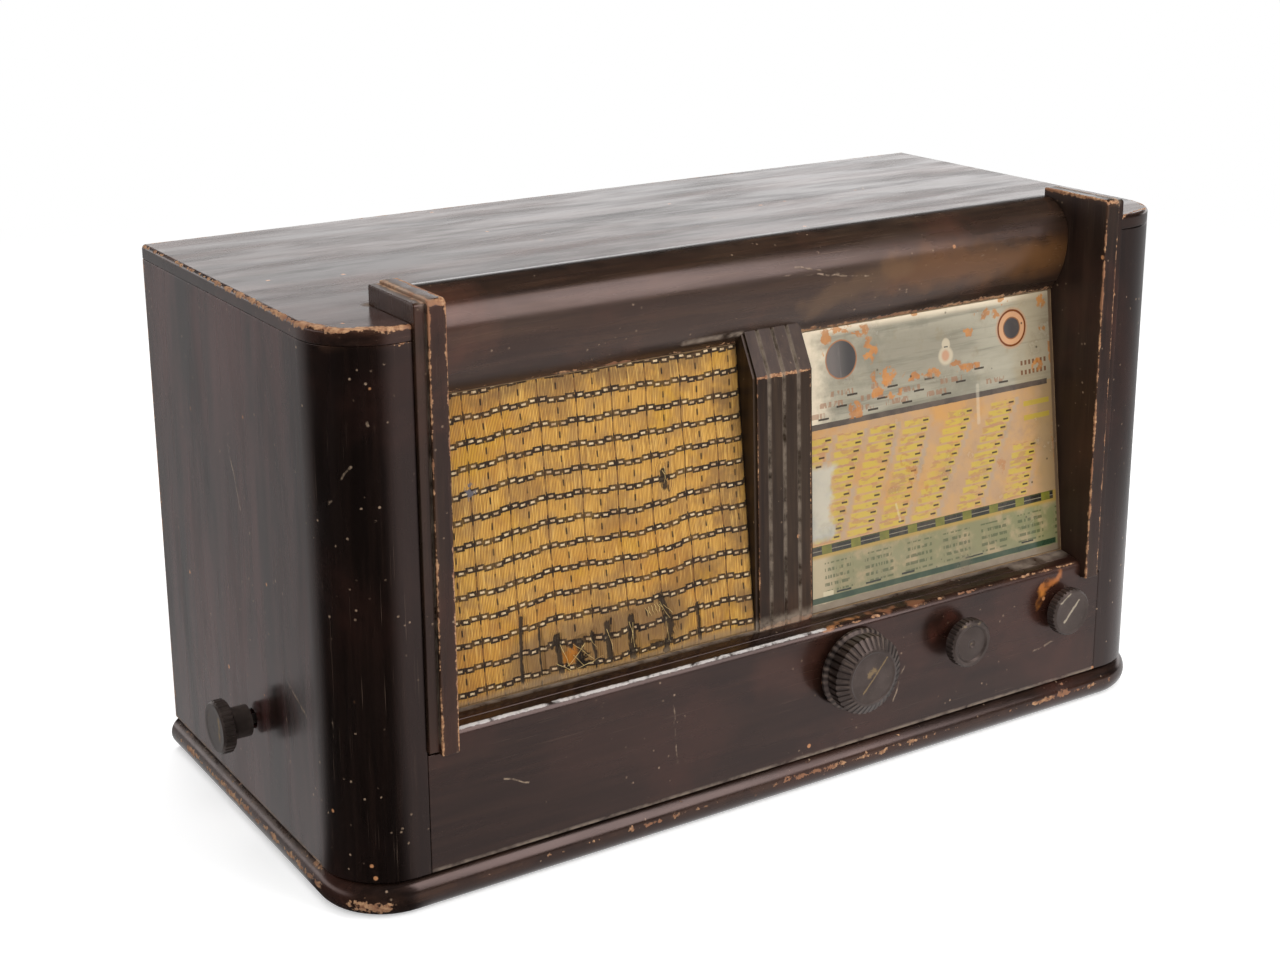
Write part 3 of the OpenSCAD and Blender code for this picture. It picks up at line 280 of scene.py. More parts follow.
def box_group():
    """1 inside a rectangle of the plane, 0 outside it."""
    def make(n, i):
        rel = n.vector("ABSOLUTE", n.vector("SUBTRACT", i["Place"], i["Centre"]))
        x, y, _ = n.split(n.vector("SUBTRACT", rel, i["Half"]))
        return n.step(n.most(x, y), 0.12, -0.12)
    return new_group("Inside a box", {"Place": "VECTOR", "Centre": "VECTOR",
                                      "Half": "VECTOR"}, make)


def spot_group():
    """1 at a spot's middle, falling to 0 at its edge."""
    def make(n, i):
        rel = n.vector("DIVIDE", n.vector("SUBTRACT", i["Place"], i["Centre"]), i["Radius"])
        return n.calc("SUBTRACT", 1.0, n.length(rel), clamp=True)
    return new_group("Round spot", {"Place": "VECTOR", "Centre": "VECTOR",
                                    "Radius": "VECTOR"}, make)


def near_lines(n, lines, at=None):
    """The most of several lines, each (start, end, reach, amount) in millimetres."""
    at = at or n.place()
    found = []
    for start, end, reach, amount in lines:
        near = n.group(line_group(), Place=at, Start=Vector(start) * MM,
                       End=Vector(end) * MM, Reach=reach * MM)
        found.append(near * amount if amount != 1 else near)
    return n.most(*found)


# Finishes


def lacquer(name, dark, brown, grain, worn=(), dust=(), scratches=(), stains_and_shade=(), edges=(),
            gloss=0.2, shine=0.62, haze=0.0, film=(0.15, 0.085, 0.068), high=None,
            behind=None, matte=None):
    """Old lacquered wood: grain, worn edges, dust, scratches, stains and painted shade, and a
    painted highlight along given edges.

    The haze, of the colour film, lies above the height high and behind y = behind;
    inside |x| = matte the wood is dull."""
    f = Finish(name)
    run = [0.35 if g else 2.2 for g in grain]
    fibre = f.noise(9, 6, 0.6, [1.2 if g else 26 for g in grain], 0.4)
    cloud = f.noise(7, 5, 0.62, bend=0.4)
    fine = f.noise(420, 5, 0.65)
    broad = f.noise(120, 5, 0.65)
    f.colour = f.mix(f.step(fibre, 0.35, 0.75), dark, brown)
    f.lay(f.step(cloud, 0.5, 0.72), (2.9 * brown[0], 2.0 * brown[1], 1.9 * brown[2]), 0.6)
    rub_and_highlight = f.noise(22, 4, 0.65, run, 0.3)
    rough = f.blend(f.step(rub_and_highlight, 0.32, 0.7), gloss - 0.04, gloss + 0.10)
    if matte:
        inner = f.step(abs(f.along(X_RUN)), matte + 0.1, matte - 0.05)
        rough = f.blend(inner, rough, 0.62)
    if haze:
        veil = f.step(f.noise(11, 6, 0.66, run, 0.5), 0.38, 0.66) * haze
        if high:
            veil = veil * f.step(f.along(Z_RUN), high - 0.8, high - 0.1)
        if behind:
            veil = veil * f.step(f.along(Y_RUN), behind - 6, behind + 8)
        f.lay(veil, film)
    hair = f.noise(34, 2, 0.5, [0.4 if g else 55 for g in grain])
    hair = f.step(hair, 0.67, 0.73) * f.step(f.noise(16, 3), 0.48, 0.66)
    f.lay(hair, (0.26, 0.18, 0.13), 0.28)
    speck = f.step(f.cells(150), 0.15, 0.06) * f.step(fine, 0.4, 0.5)
    speck = speck * f.step(f.noise(26, 4, 0.7), 0.5, 0.6)
    f.lay(speck, (0.3, 0.21, 0.14), 0.75)
    pit = f.step(f.cells(33), 0.055, 0.035) * f.step(cloud, 0.45, 0.5)
    f.lay(pit, (0.42, 0.19, 0.08))
    # Stains, and painted shade where a finish lists it, laid as tints along lines
    if stains_and_shade:
        at = f.vector("ADD", f.place(), f.push(60.0, 4.0, 0.022))
        for start, end, reach, amount, tint in stains_and_shade:
            near = near_lines(f, [(start, end, reach, 1)], at)
            f.lay(f.step(near, 0.05, 0.8) * amount, tint)
    if scratches:
        near = near_lines(f, scratches, f.vector("ADD", f.place(), f.push(110.0, 3.0, 0.0035)))
        mark = f.step(near, 0.2, 0.75) * f.step(broad, 0.4, 0.58)
        f.lay(mark, (0.3, 0.22, 0.15), 0.75)
        f.bump(mark, 0.12)
    if worn:
        near = near_lines(f, worn)
        rub_and_highlight = near * f.step(f.noise(40, 3), 0.3, 0.7)
        f.lay(rub_and_highlight, (0.12, 0.055, 0.028), 0.4)
        edge = near + (broad - 0.5) * 1.8 + (fine - 0.5) * 0.9 + (cloud - 0.5) * 1.5
        chip = f.step(edge, 0.64, 0.74) * f.step(near, 0, 0.1)
        bare = f.mix(f.step(fine, 0.35, 0.65), (0.17, 0.065, 0.028), (0.44, 0.25, 0.13))
        bare = f.mix(f.step(f.noise(25, 2), 0.5, 0.6), bare, (0.24, 0.11, 0.055))
        f.lay(chip, bare)
        rough = f.blend(chip, rough, 0.65)
        f.bump(1.0 - chip, 0.2)
    # Painted highlight: a pale glint along the given rounded edges
    if edges:
        near = near_lines(f, edges) + (fine - 0.5) * 0.7
        rub_and_highlight = f.step(near, 0.3, 0.6) * f.step(broad, 0.36, 0.52)
        f.lay(rub_and_highlight, (0.5, 0.47, 0.45))
    if dust:
        near = near_lines(f, dust)
        layer = f.step(near, 0.0, 0.8) * f.step(broad, 0.3, 0.62)
        f.lay(layer, (0.27, 0.215, 0.165), 0.7)
        rough = f.blend(layer, rough, 0.8)
    f.bump(fine, 0.022, 0.6)
    f.bump(fibre, 0.035, 0.5)
    return f.done(rough, Coat_Weight=0.06, Coat_Roughness=0.1, Coat_IOR=1.5,
                  Specular_Tint=(1.0, 0.72, 0.67, 1), Specular_IOR_Level=shine)


def bare_wood(name, pale, brown, grain):
    """Wood without lacquer, grimy with age."""
    f = Finish(name)
    fibre = f.noise(6, 6, 0.62, [1 if g else 30 for g in grain], 0.6)
    ring = f.noise(18, 4, 0.6, [0.3 if g else 9 for g in grain], 1.2)
    f.colour = f.mix(f.step(fibre, 0.3, 0.75), pale, brown)
    f.lay(f.step(ring, 0.5, 0.62), brown, 0.45)
    grime = f.noise(11, 5)
    f.lay(f.step(grime, 0.5, 0.75), (0.12, 0.085, 0.06), 0.5)
    f.bump(fibre, 0.15, 0.6)
    return f.done(f.blend(grime, 0.62, 0.8))


def pressed_board(name):
    """Hardboard: mottled and scuffed, with dirt at its foot."""
    f = Finish(name)
    mottle = f.noise(45, 6, 0.65)
    fibre = f.noise(900, 3, 0.6)
    f.colour = f.mix(f.step(mottle, 0.3, 0.7), (0.115, 0.066, 0.036), (0.2, 0.12, 0.07))
    stain = f.noise(5, 5, 0.6, bend=0.5)
    f.lay(f.step(stain, 0.5, 0.7), (0.085, 0.06, 0.045), 0.5)
    f.lay(f.step(fibre, 0.6, 0.75), (0.3, 0.2, 0.12), 0.35)
    scuff = f.step(f.noise(42, 4, 0.6, (0.25, 1, 2.4), 0.6), 0.6, 0.68) * f.step(fibre, 0.4, 0.6)
    f.lay(scuff, (0.36, 0.26, 0.17), 0.5)
    dirt = f.step(f.cells(60), 0.10, 0.05)
    f.lay(dirt * f.step(stain, 0.45, 0.55), (0.05, 0.035, 0.025))
    low = f.step(f.along(Z_RUN), 60, 20)
    f.lay(low * mottle, (0.2, 0.165, 0.13), 0.8)
    f.bump(f.noise(170, 3, 0.5), 0.06)
    f.bump(fibre, 0.05, 0.7)
    return f.done(f.blend(mottle, 0.42, 0.62))


def moulded(name, dark, worn=(), tint=(0.30, 0.22, 0.12), flutes=None):
    """Dark moulded plastic, dulled by hands; a fluted knob has painted shade in its hollows and
    painted highlights on its tips.

    Flutes are (x, z, count, inner radius) of a knob that faces the front."""
    f = Finish(name)
    cloud = f.noise(70, 4)
    fine = f.noise(900, 4, 0.6)
    f.colour = f.mix(f.step(cloud, 0.35, 0.75), dark, tuple(2.3 * c for c in dark))
    f.lay(f.step(fine, 0.62, 0.72), (0.16, 0.12, 0.09), 0.35)
    rough = f.blend(cloud, 0.30, 0.5)
    if flutes:
        x, z, count, inner = flutes
        across, up = f.along(X_RUN, -x), f.along(Z_RUN, -z)
        turn = f.calc("ARCTAN2", up, across) * float(count)
        wave = f.calc("COSINE", turn)
        far = f.length(f.pair(across, up))
        ring = f.step(far, inner, inner + 1.5)
        # Painted shade darkens the flute hollows, and painted highlights lighten the flute tips
        f.lay(ring * f.step(wave, 0.1, 0.8), (0.003, 0.0022, 0.002))
        tip_highlight = f.step(wave, -0.3, -0.9) * f.step(cloud, 0.35, 0.65)
        f.lay(ring * tip_highlight, (0.15, 0.11, 0.085), 0.7)
    if worn:
        near = near_lines(f, worn)
        mark = f.step(near + (f.noise(350, 4) - 0.5) * 1.2, 0.35, 0.6)
        f.lay(mark, tint, 0.65)
        rough = f.blend(mark, rough, 0.7)
    f.bump(fine, 0.02)
    return f.done(rough, Specular_Tint=(1.0, 0.74, 0.66, 1), Specular_IOR_Level=0.6)


def metal(name, colour, rough, tarnish=(0.25, 0.2, 0.15), brushed=None, dull=0.5):
    """Tarnished metal; brushed stretches its fine lines."""
    f = Finish(name)
    cloud = f.noise(28, 5, 0.6)
    fine = f.noise(500, 3, 0.5, brushed)
    f.colour = f.mix(f.step(cloud, 0.42, 0.72) * dull, colour, tarnish)
    f.lay(f.step(fine, 0.45, 0.7), tuple(0.6 * c for c in colour), 0.25)
    f.bump(fine, 0.02, 0.5)
    return f.done(f.blend(cloud, rough, rough + 0.25), Metallic=1.0)


def painted(name, colour, rough, dirt, fleck=0.3):
    """Paint with clouds and flecks of dirt."""
    f = Finish(name)
    cloud = f.noise(24, 5, 0.6)
    fine = f.noise(700, 4, 0.6)
    f.colour = f.mix(f.step(cloud, 0.45, 0.75) * 0.5, colour, dirt)
    f.lay(f.step(fine, 0.6, 0.72) * fleck, dirt)
    f.bump(fine, 0.03)
    return f.done(f.blend(cloud, rough, rough + 0.2))


def clear_glass(name, tint):
    """Glass with a thin film of grime."""
    f = Finish(name)
    film = f.noise(60, 4)
    f.colour = f.mix(f.step(film, 0.5, 0.8) * 0.25, tint, (0.75, 0.72, 0.64))
    return f.done(f.blend(film, 0.02, 0.12), Transmission_Weight=1.0, IOR=1.3)


# Shapes

# Faces that meet at more than this angle, in degrees, meet in a sharp edge
SHARP = 34


def turned(profile, segments, place=None):
    """A closed turned shape from (radius, height) pairs in millimetres, about Z."""
    bm = bmesh.new()
    verts = [bm.verts.new((r * MM, 0, h * MM)) for r, h in profile]
    edges = [bm.edges.new(pair) for pair in zip(verts, verts[1:])]
    bmesh.ops.spin(bm, geom=verts + edges, cent=(0, 0, 0), axis=(0, 0, 1),
                   angle=math.tau, steps=segments, use_merge=True)
    bmesh.ops.remove_doubles(bm, verts=bm.verts, dist=1e-6)
    bmesh.ops.recalc_face_normals(bm, faces=bm.faces)
    if place:
        bm.transform(place)
    return bm


def join(*parts):
    """Several bmeshes as one."""
    whole = bmesh.new()
    for part in parts:
        mesh = bpy.data.meshes.new("part")
        part.to_mesh(mesh)
        part.free()
        whole.from_mesh(mesh)
        bpy.data.meshes.remove(mesh)
    return whole


def tube(points, radius, sides=8, closed=False):
    """A round tube along points in metres; radius in millimetres."""
    bm = bmesh.new()
    count = len(points)
    rings = []
    before = None
    for i, point in enumerate(points):
        ahead = points[(i + 1) % count] if closed or i + 1 < count else point
        behind = points[i - 1] if closed or i else point
        way = (Vector(ahead) - Vector(behind)).normalized()
        if before is None:
            before = way.orthogonal().normalized()
        side = (before - way * before.dot(way)).normalized()
        before = side
        other = way.cross(side)
        rings.append([bm.verts.new(Vector(point) + radius * MM * (
            math.cos(math.tau * k / sides) * side + math.sin(math.tau * k / sides) * other))
            for k in range(sides)])
    pairs = list(zip(rings, rings[1:]))
    if closed:
        pairs.append((rings[-1], rings[0]))
    for a, b in pairs:
        for k in range(sides):
            bm.faces.new((a[k], a[(k + 1) % sides], b[(k + 1) % sides], b[k]))
    if not closed:
        bm.faces.new(reversed(rings[0]))
        bm.faces.new(rings[-1])
    bmesh.ops.recalc_face_normals(bm, faces=bm.faces)
    return bm


def from_cad(node, width, segments=2, angle=28):
    """A copy of a CAD node's mesh, merged, with its sharp edges rounded.

    The rounding's width is in millimetres; edges over the angle in degrees get it."""
    bm = bmesh.new()
    bm.from_mesh(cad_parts[node].data)
    bmesh.ops.remove_doubles(bm, verts=bm.verts, dist=5e-6)
    bmesh.ops.dissolve_limit(bm, angle_limit=math.radians(0.5), verts=bm.verts,
                             edges=bm.edges, use_dissolve_boundaries=False)
    sharp = [e for e in bm.edges if e.is_manifold and
             e.calc_face_angle(0) > math.radians(angle)]
    bmesh.ops.bevel(bm, geom=sharp, offset=width * MM, offset_type="OFFSET",
                    segments=segments, profile=0.5, affect="EDGES", material=-1,
                    clamp_overlap=True)
    bmesh.ops.triangulate(bm, faces=[f for f in bm.faces if len(f.verts) > 4])
    return bm


def piece(bm, name, material, replaces=(), body="cabinet", weighted=True):
    """Makes an object of a bmesh that rides on a CAD body."""
    mesh = bpy.data.meshes.new(name)
    bm.to_mesh(mesh)
    bm.free()
    mesh.materials.append(material)
    mesh.polygons.foreach_set("use_smooth", [True] * len(mesh.polygons))
    mesh.set_sharp_from_angle(angle=math.radians(SHARP))
    made = bpy.data.objects.new(name, mesh)
    bpy.context.scene.collection.objects.link(made)
    if weighted:
        even = made.modifiers.new("Even shading", "WEIGHTED_NORMAL")
        even.keep_sharp = True
    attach(made, body)
    if replaces:
        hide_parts(*replaces)
    return made


# Settings and operators


class RadioSizes(bpy.types.PropertyGroup):
    """Sizes that a user would change."""

    edge: bpy.props.FloatProperty(
        name="Edge rounding", description="Rounding of the wood's edges", default=0.0007,
        min=0.0001, max=0.002, unit="LENGTH", subtype="DISTANCE")
    thread: bpy.props.FloatProperty(
        name="Thread pitch", description="Distance between the cloth's upright threads",
        default=0.00095, min=0.0005, max=0.003, unit="LENGTH", subtype="DISTANCE")
    cloth_wave: bpy.props.FloatProperty(
        name="Cloth waves", description="Height of the waves in the cloth", default=0.0007,
        min=0.0, max=0.002, unit="LENGTH", subtype="DISTANCE")


class RadioColours(bpy.types.PropertyGroup):
    """Colours that a user would change."""

    lacquer: bpy.props.FloatVectorProperty(
        name="Lacquer", description="Darkest colour of the lacquered wood", size=3,
        default=(0.0075, 0.0042, 0.0032), min=0, max=1, subtype="COLOR")
    grain: bpy.props.FloatVectorProperty(
        name="Grain", description="Lighter colour of the lacquered wood", size=3,
        default=(0.019, 0.0095, 0.0065), min=0, max=1, subtype="COLOR")
    straw: bpy.props.FloatVectorProperty(
        name="Straw", description="Colour of the cloth's gold threads", size=3,
        default=(0.60, 0.315, 0.062), min=0, max=1, subtype="COLOR")
    print_ground: bpy.props.FloatVectorProperty(
        name="Dial ground", description="Ground colour of the dial's upper field", size=3,
        default=(0.24, 0.215, 0.155), min=0, max=1, subtype="COLOR")
    moulding: bpy.props.FloatVectorProperty(
        name="Knobs", description="Colour of the knobs", size=3,
        default=(0.022, 0.017, 0.015), min=0, max=1, subtype="COLOR")


class Builder:
    """What the operators share."""

    bl_options = {"REGISTER"}

    @property
    def sizes(self):
        return bpy.context.scene.radio_sizes

    @property
    def colours(self):
        return bpy.context.scene.radio_colours


# Marks of the cabinet in millimetres: half its width, its rear, its front, where the
# front corners begin to bend, its top, the base's upper face, and the inner edges of a
# fin and its strip
SIDE, REAR, FACE, BEND, LID, LEDGE = 300, 135, -135.5, -96, 335, 22
FIN, STRIP = 234.7, 245.4


class RADIO_OT_cabinet(Builder, bpy.types.Operator):
    """Builds the outside of the cabinet: base, sides, front, top, sill and fins"""

    bl_idname = "radio.cabinet"
    bl_label = "Cabinet"

    def execute(self, context):
        dark, brown = tuple(self.colours.lacquer), tuple(self.colours.grain)
        deep = tuple(0.4 * c for c in dark)
        edge = self.sizes.edge / MM
        arc = [(-SIDE, BEND, LID), (-288, -124, LID), (-261, FACE, LID)]
        side = lacquer(
            "side_lacquer", deep, tuple(0.45 * c for c in brown), Z_RUN,
            worn=[((-SIDE, REAR, 326), (-SIDE, REAR, LEDGE), 4, 0.8),
                  ((SIDE, REAR, 326), (SIDE, REAR, LEDGE), 4, 0.8),
                  ((-SIDE, 130, LEDGE), (-SIDE, BEND, LEDGE), 3, 0.55),
                  ((-292, -118, 329), (-255, FACE, 329), 8, 0.9),
                  ((-SIDE, -90, 330), (-SIDE, -60, 330), 5, 0.6)],
            dust=[((-SIDE, REAR, 21.5), (-SIDE, BEND, 21.5), 2.5, 1)],
            scratches=[((-SIDE, -60, 120), (-SIDE, -86, 108), 1, 1),
                       ((-SIDE, 10, 240), (-SIDE, -4, 205), 1, 1),
                       ((-281, -128, 300), (-277, -132, 284), 1.2, 1),
                       ((-294, -116, 240), (-286, -126, 262), 1.4, 1),
                       ((-296, -112, 120), (-296, -112, 100), 1.2, 1)],
            gloss=0.23, haze=0.75, behind=BEND, film=(0.075, 0.030, 0.027))
        front = lacquer(
            "front_lacquer", dark, brown, X_RUN,
            worn=[((18, -134, 103), (232, -134, 103), 2.4, 0.6)],
            dust=[((-250, -136, LEDGE), (250, -136, LEDGE), 2.5, 1),
                  ((-234, -117.5, 105.5), (234, -117.5, 105.5), 4, 1),
                  ((190, -122, 105), (234, -119, 105), 9, 1)],
            scratches=[((-92, FACE, 92), (-88, FACE, 40), 0.8, 1),
                       ((-205, FACE, 66), (-190, FACE, 60), 1, 1),
                       ((76, FACE, 42), (84, FACE, 64), 1.2, 0.8),
                       ((196, FACE, 48), (216, FACE, 52), 1.4, 0.9)],
            stains_and_shade=[((197, FACE, 80), (202, FACE, 92), 5.5, 1.0, (0.42, 0.15, 0.03)),
                    ((202, FACE, 92), (217, FACE, 98), 5, 0.95, (0.36, 0.12, 0.03)),
                    ((108, FACE, 80), (119, FACE, 92), 8, 0.25, (0.10, 0.03, 0.02)),
                    ((-160, FACE, 70), (-60, FACE, 60), 30, 0.4, (0.032, 0.014, 0.010)),
                    ((-20, FACE, 85), (10, FACE, 78), 22, 0.5, (0.045, 0.017, 0.011)),
                    ((60, -131, 104), (100, -131, 104), 3.5, 0.8, (0.20, 0.08, 0.04)),
                    ((22, -131, 104), (50, -131, 104), 3.0, 0.8, (0.38, 0.16, 0.06))],
            # Painted highlight along the sill's rounded front edge
            edges=[((-234, -133.5, 103.6), (22, -133.5, 103.6), 2.1, 1.0),
                   ((22, -133.5, 103.6), (232, -133.5, 103.6), 1.1, 0.5)],
            gloss=0.22)
        base = lacquer(
            "base_lacquer", dark, brown, X_RUN,
            worn=[((-261, -139, 12), (265, -139, 12), 5, 0.6),
                  ((-261, -137, 20), (265, -137, 20), 3, 0.68),
                  ((-303.5, 130, 12), (-303.5, BEND, 12), 6, 0.72),
                  ((-301, 130, 20), (-301, BEND, 20), 4, 0.72),
                  ((-298, -124, 8), (-278, -137, 8), 10, 0.95)],
            dust=[((-303, 130, 21), (-303, BEND, 21), 5, 1),
                  ((-261, -137, 21.5), (261, -137, 21.5), 3, 1)])
        top = lacquer(
            "top_lacquer", dark, brown, X_RUN,
            worn=[((-SIDE, REAR, LID), arc[0], 4, 0.95), (arc[0], arc[1], 5, 1),
                  (arc[1], arc[2], 5, 1), (arc[2], (-252, FACE, LID), 4, 1),
                  ((-SIDE, 135.5, LID), (SIDE, 135.5, LID), 4, 0.9),
                  ((SIDE, REAR, LID), (SIDE, BEND, LID), 3, 0.8),
                  ((SIDE, BEND, LID), (289, -124, LID), 4, 1),
                  ((289, -124, LID), (252, FACE, LID), 4, 1)],
            dust=[((-234, -66, LID), (234, -66, LID), 3, 1),
                  ((-252, -84, LID), (-235, -84, LID), 6, 1)],
            scratches=[((118, -4, LID), (132, 12, LID), 1, 1),
                       ((132, 12, LID), (150, 18, LID), 1, 1),
                       ((176, 30, LID), (186, 44, LID), 1, 1)],
            stains_and_shade=[((-205, -52, LID), (-120, -36, LID), 16, 0.6, (0.012, 0.007, 0.005)),
                    ((-235, -70, LID), (-200, -76, LID), 14, 0.5, (0.012, 0.007, 0.005)),
                    ((-110, 5, LID), (60, 22, LID), 10, 0.35, (0.015, 0.009, 0.007)),
                    ((-270, -60, LID), (-240, 40, LID), 22, 0.3, (0.015, 0.009, 0.007)),
                    ((52, 134, LID), (58, 131, LID), 4, 1.0, (0.006, 0.004, 0.003))],
            haze=0.42, high=LID)
        fin = lacquer(
            "fin_lacquer", dark, brown, Z_RUN,
            worn=[((s * x, -140.7, 347), (s * x, -140.7, 93), 2.4, amount) for s in (-1, 1)
                  for x, amount in ((FIN, 0.9), (STRIP, 0.8), (252, 0.8))] +
                 [((s * x, -140, 347.5), (s * x, -84, 347.5), 4, 1.15)
                  for s in (-1, 1) for x in (FIN, STRIP)] +
                 [((s * FIN, -140.5, 346.5), (s * 252, -140.5, 346.5), 4, 1.15)
                  for s in (-1, 1)],
            dust=[((s * STRIP, -138, 340), (s * STRIP, -138, 100), 1.4, 0.5)
                  for s in (-1, 1)] +
                 [((s * 245, -136, 346.5), (s * 245, -86, 346.5), 7, 0.8) for s in (-1, 1)],
            gloss=0.22, shine=0.5, haze=0.2, film=(0.070, 0.044, 0.024), matte=FIN)
        body = [("left_side", side, edge), ("right_side", side, edge),
                ("front_panel", front, edge), ("sill", front, edge),
                ("base_board", base, edge), ("top_panel", top, edge),
                ("left_fin", fin, edge), ("right_fin", fin, edge),
                ("fin_strips", fin, edge * 0.8)]
        for node, finish, width in body:
            piece(from_cad(node, width), "wood_" + node, finish, [node])
        return {"FINISHED"}


class RADIO_OT_roll(Builder, bpy.types.Operator):
    """Builds the roll over the recess and the grooved pilaster"""

    bl_idname = "radio.roll"
    bl_label = "Roll and pilaster"

    def execute(self, context):
        roll = lacquer(
            "roll_lacquer", (0.017, 0.0095, 0.0065), (0.036, 0.019, 0.0115), X_RUN,
            worn=[((-234, -96, 283), (-20, -96, 283), 3, 0.6),
                  ((24, -96, 283), (234, -96, 283), 5, 0.8),
                  ((-234, -90, 341), (234, -90, 341), 3, 0.45)],
            # The first two are brown stains; the third and fifth are painted shade along the
            # lower lip, and the fourth a painted dark reflection along the crown
            stains_and_shade=[((95, -107, 312), (226, -106, 308), 20, 0.6, (0.135, 0.058, 0.018)),
                    ((30, -104, 300), (95, -107, 316), 14, 0.5, (0.11, 0.062, 0.028)),
                    ((20, -98, 286), (225, -98, 286), 7, 0.85, (0.018, 0.011, 0.008)),
                    ((-234, -84, 342), (234, -84, 342), 13, 0.9, (0.010, 0.006, 0.004)),
                    ((-234, -100, 288), (-20, -100, 288), 10, 0.6, (0.012, 0.008, 0.006))],
            scratches=[((6, -107, 322), (50, -107, 318), 1.2, 1),
                       ((14, -107, 326), (60, -107, 316), 1.2, 1),
                       ((30, -107.5, 320), (70, -107.5, 314), 1, 1),
                       ((120, -107, 312), (205, -107, 318), 1, 1)],
            dust=[((-60, -100, 289), (-20, -100, 289), 3, 1)], gloss=0.24, haze=0.3,
            film=(0.070, 0.045, 0.026))
        groove = [-19.55 + k * 10.875 for k in (1, 2, 3)]
        pilaster = lacquer(
            "pilaster_lacquer", (0.009, 0.0055, 0.0035), (0.030, 0.018, 0.010), Z_RUN,
            worn=[((-19.5, -113.7, 264), (24, -113.7, 264), 2.4, 1.0),
                  ((-17.5, -119.5, 110), (-17.5, -113.7, 264), 1.8, 0.8),
                  ((22, -119.5, 110), (22, -113.7, 264), 1.8, 0.8),
                  ((-19, -120, 107), (24, -120, 107), 4, 0.9)],
            dust=[((x, -119.5, 108), (x, -113.3, 264), 2.0, 1) for x in groove] +
                 [((x, -113.3, 264), (x, -100.5, 289), 2.2, 1) for x in groove] +
                 [((-19.5, -119, 108), (24, -119, 108), 8, 1)],
            gloss=0.36, haze=0.15, shine=0.32, film=(0.075, 0.050, 0.028))
        piece(from_cad("top_roll", 0.5, angle=40), "wood_top_roll", roll,
              ["top_roll"])
        piece(from_cad("pilaster", 0.35, angle=20), "wood_pilaster", pilaster,
              ["pilaster"])
        return {"FINISHED"}


# Cloth

# All in millimetres: across the set and up the lean. Rows of dark thread climb by a
# pitch, and the pattern on a row repeats by a cell. Slits, darker bands and brown stains
# have two ends, a reach and sometimes an amount; a loose thread has two ends.
CLOTH_X0, CLOTH_X1 = -234.4, -19.85
CLOTH_V0, CLOTH_V1 = 0.3, 176.3
ROW_FOOT, ROW_PITCH = 7.6, 14.1
CELL_START, CELL = -204.2, 23.75
SLITS = [((-179, 43), (-180.7, 5.5), 2.3), ((-168, 34), (-168, 6), 1.4),
         ((-158, 26), (-160, 20), 2.3), ((-156.3, 26), (-154.8, 5.3), 3.3),
         ((-147, 19), (-141, 21), 3.5), ((-143.5, 19), (-142.5, 8), 5.2),
         ((-133.8, 24.5), (-131.5, 7.6), 2.3), ((-123.8, 27.4), (-122.6, 9), 3.8),
         ((-107.6, 27.3), (-107.2, 4.6), 4.1), ((-85.7, 34), (-80, 17), 4.3),
         ((-80, 17), (-84.7, 3), 3.8), ((-60.5, 25), (-60, 3), 1.6),
         ((-77.5, 110), (-76, 101), 3.8), ((-95, 9), (-88, 8), 1.7)]
DARK_BANDS = [((-30, 150), (-24, 20), 22, 0.8), ((-234, 170), (-20, 176), 12, 0.8),
        ((-120, 32), (-40, 40), 26, 0.7)]
BROWN = [((-170, 22), (-75, 28), 24), ((-180, 7), (-60, 7), 9, 0.8),
         ((-225, 118), (-228, 60), 12, 0.6)]
LOOSE = [(-156, 22, -151, 8), (-152, 8, -139, 19), (-147, 20, -135, 9), (-146, 5, -126, 10),
         (-148, 14, -141, 6), (-124, 24, -121, 11), (-108.5, 25, -106, 9), (-106, 24, -108, 12),
         (-87, 31, -80, 21), (-84, 30, -78, 24), (-83, 20, -82, 8), (-78, 110, -75, 103),
         (-76.5, 112, -77.5, 102), (-160, 12, -150, 5), (-137, 22, -131, 14),
         *((-97 + 2.1 * k, 31 + 0.3 * k, -95.5 + 2.1 * k, 25 + 0.4 * k) for k in range(6))]


def flat_lines(lines):
    """The same lines as near_lines takes them."""
    return [((*start, 0), (*end, 0), reach, *(amount or [1]))
            for start, end, reach, *amount in lines]


def line_distance(x, v, start, end):
    """Distance of a place on the cloth from a line."""
    p, a, b = Vector((x, v)), Vector(start), Vector(end)
    t = max(0, min(1, (p - a).dot(b - a) / (b - a).length_squared))
    return (p - a - t * (b - a)).length


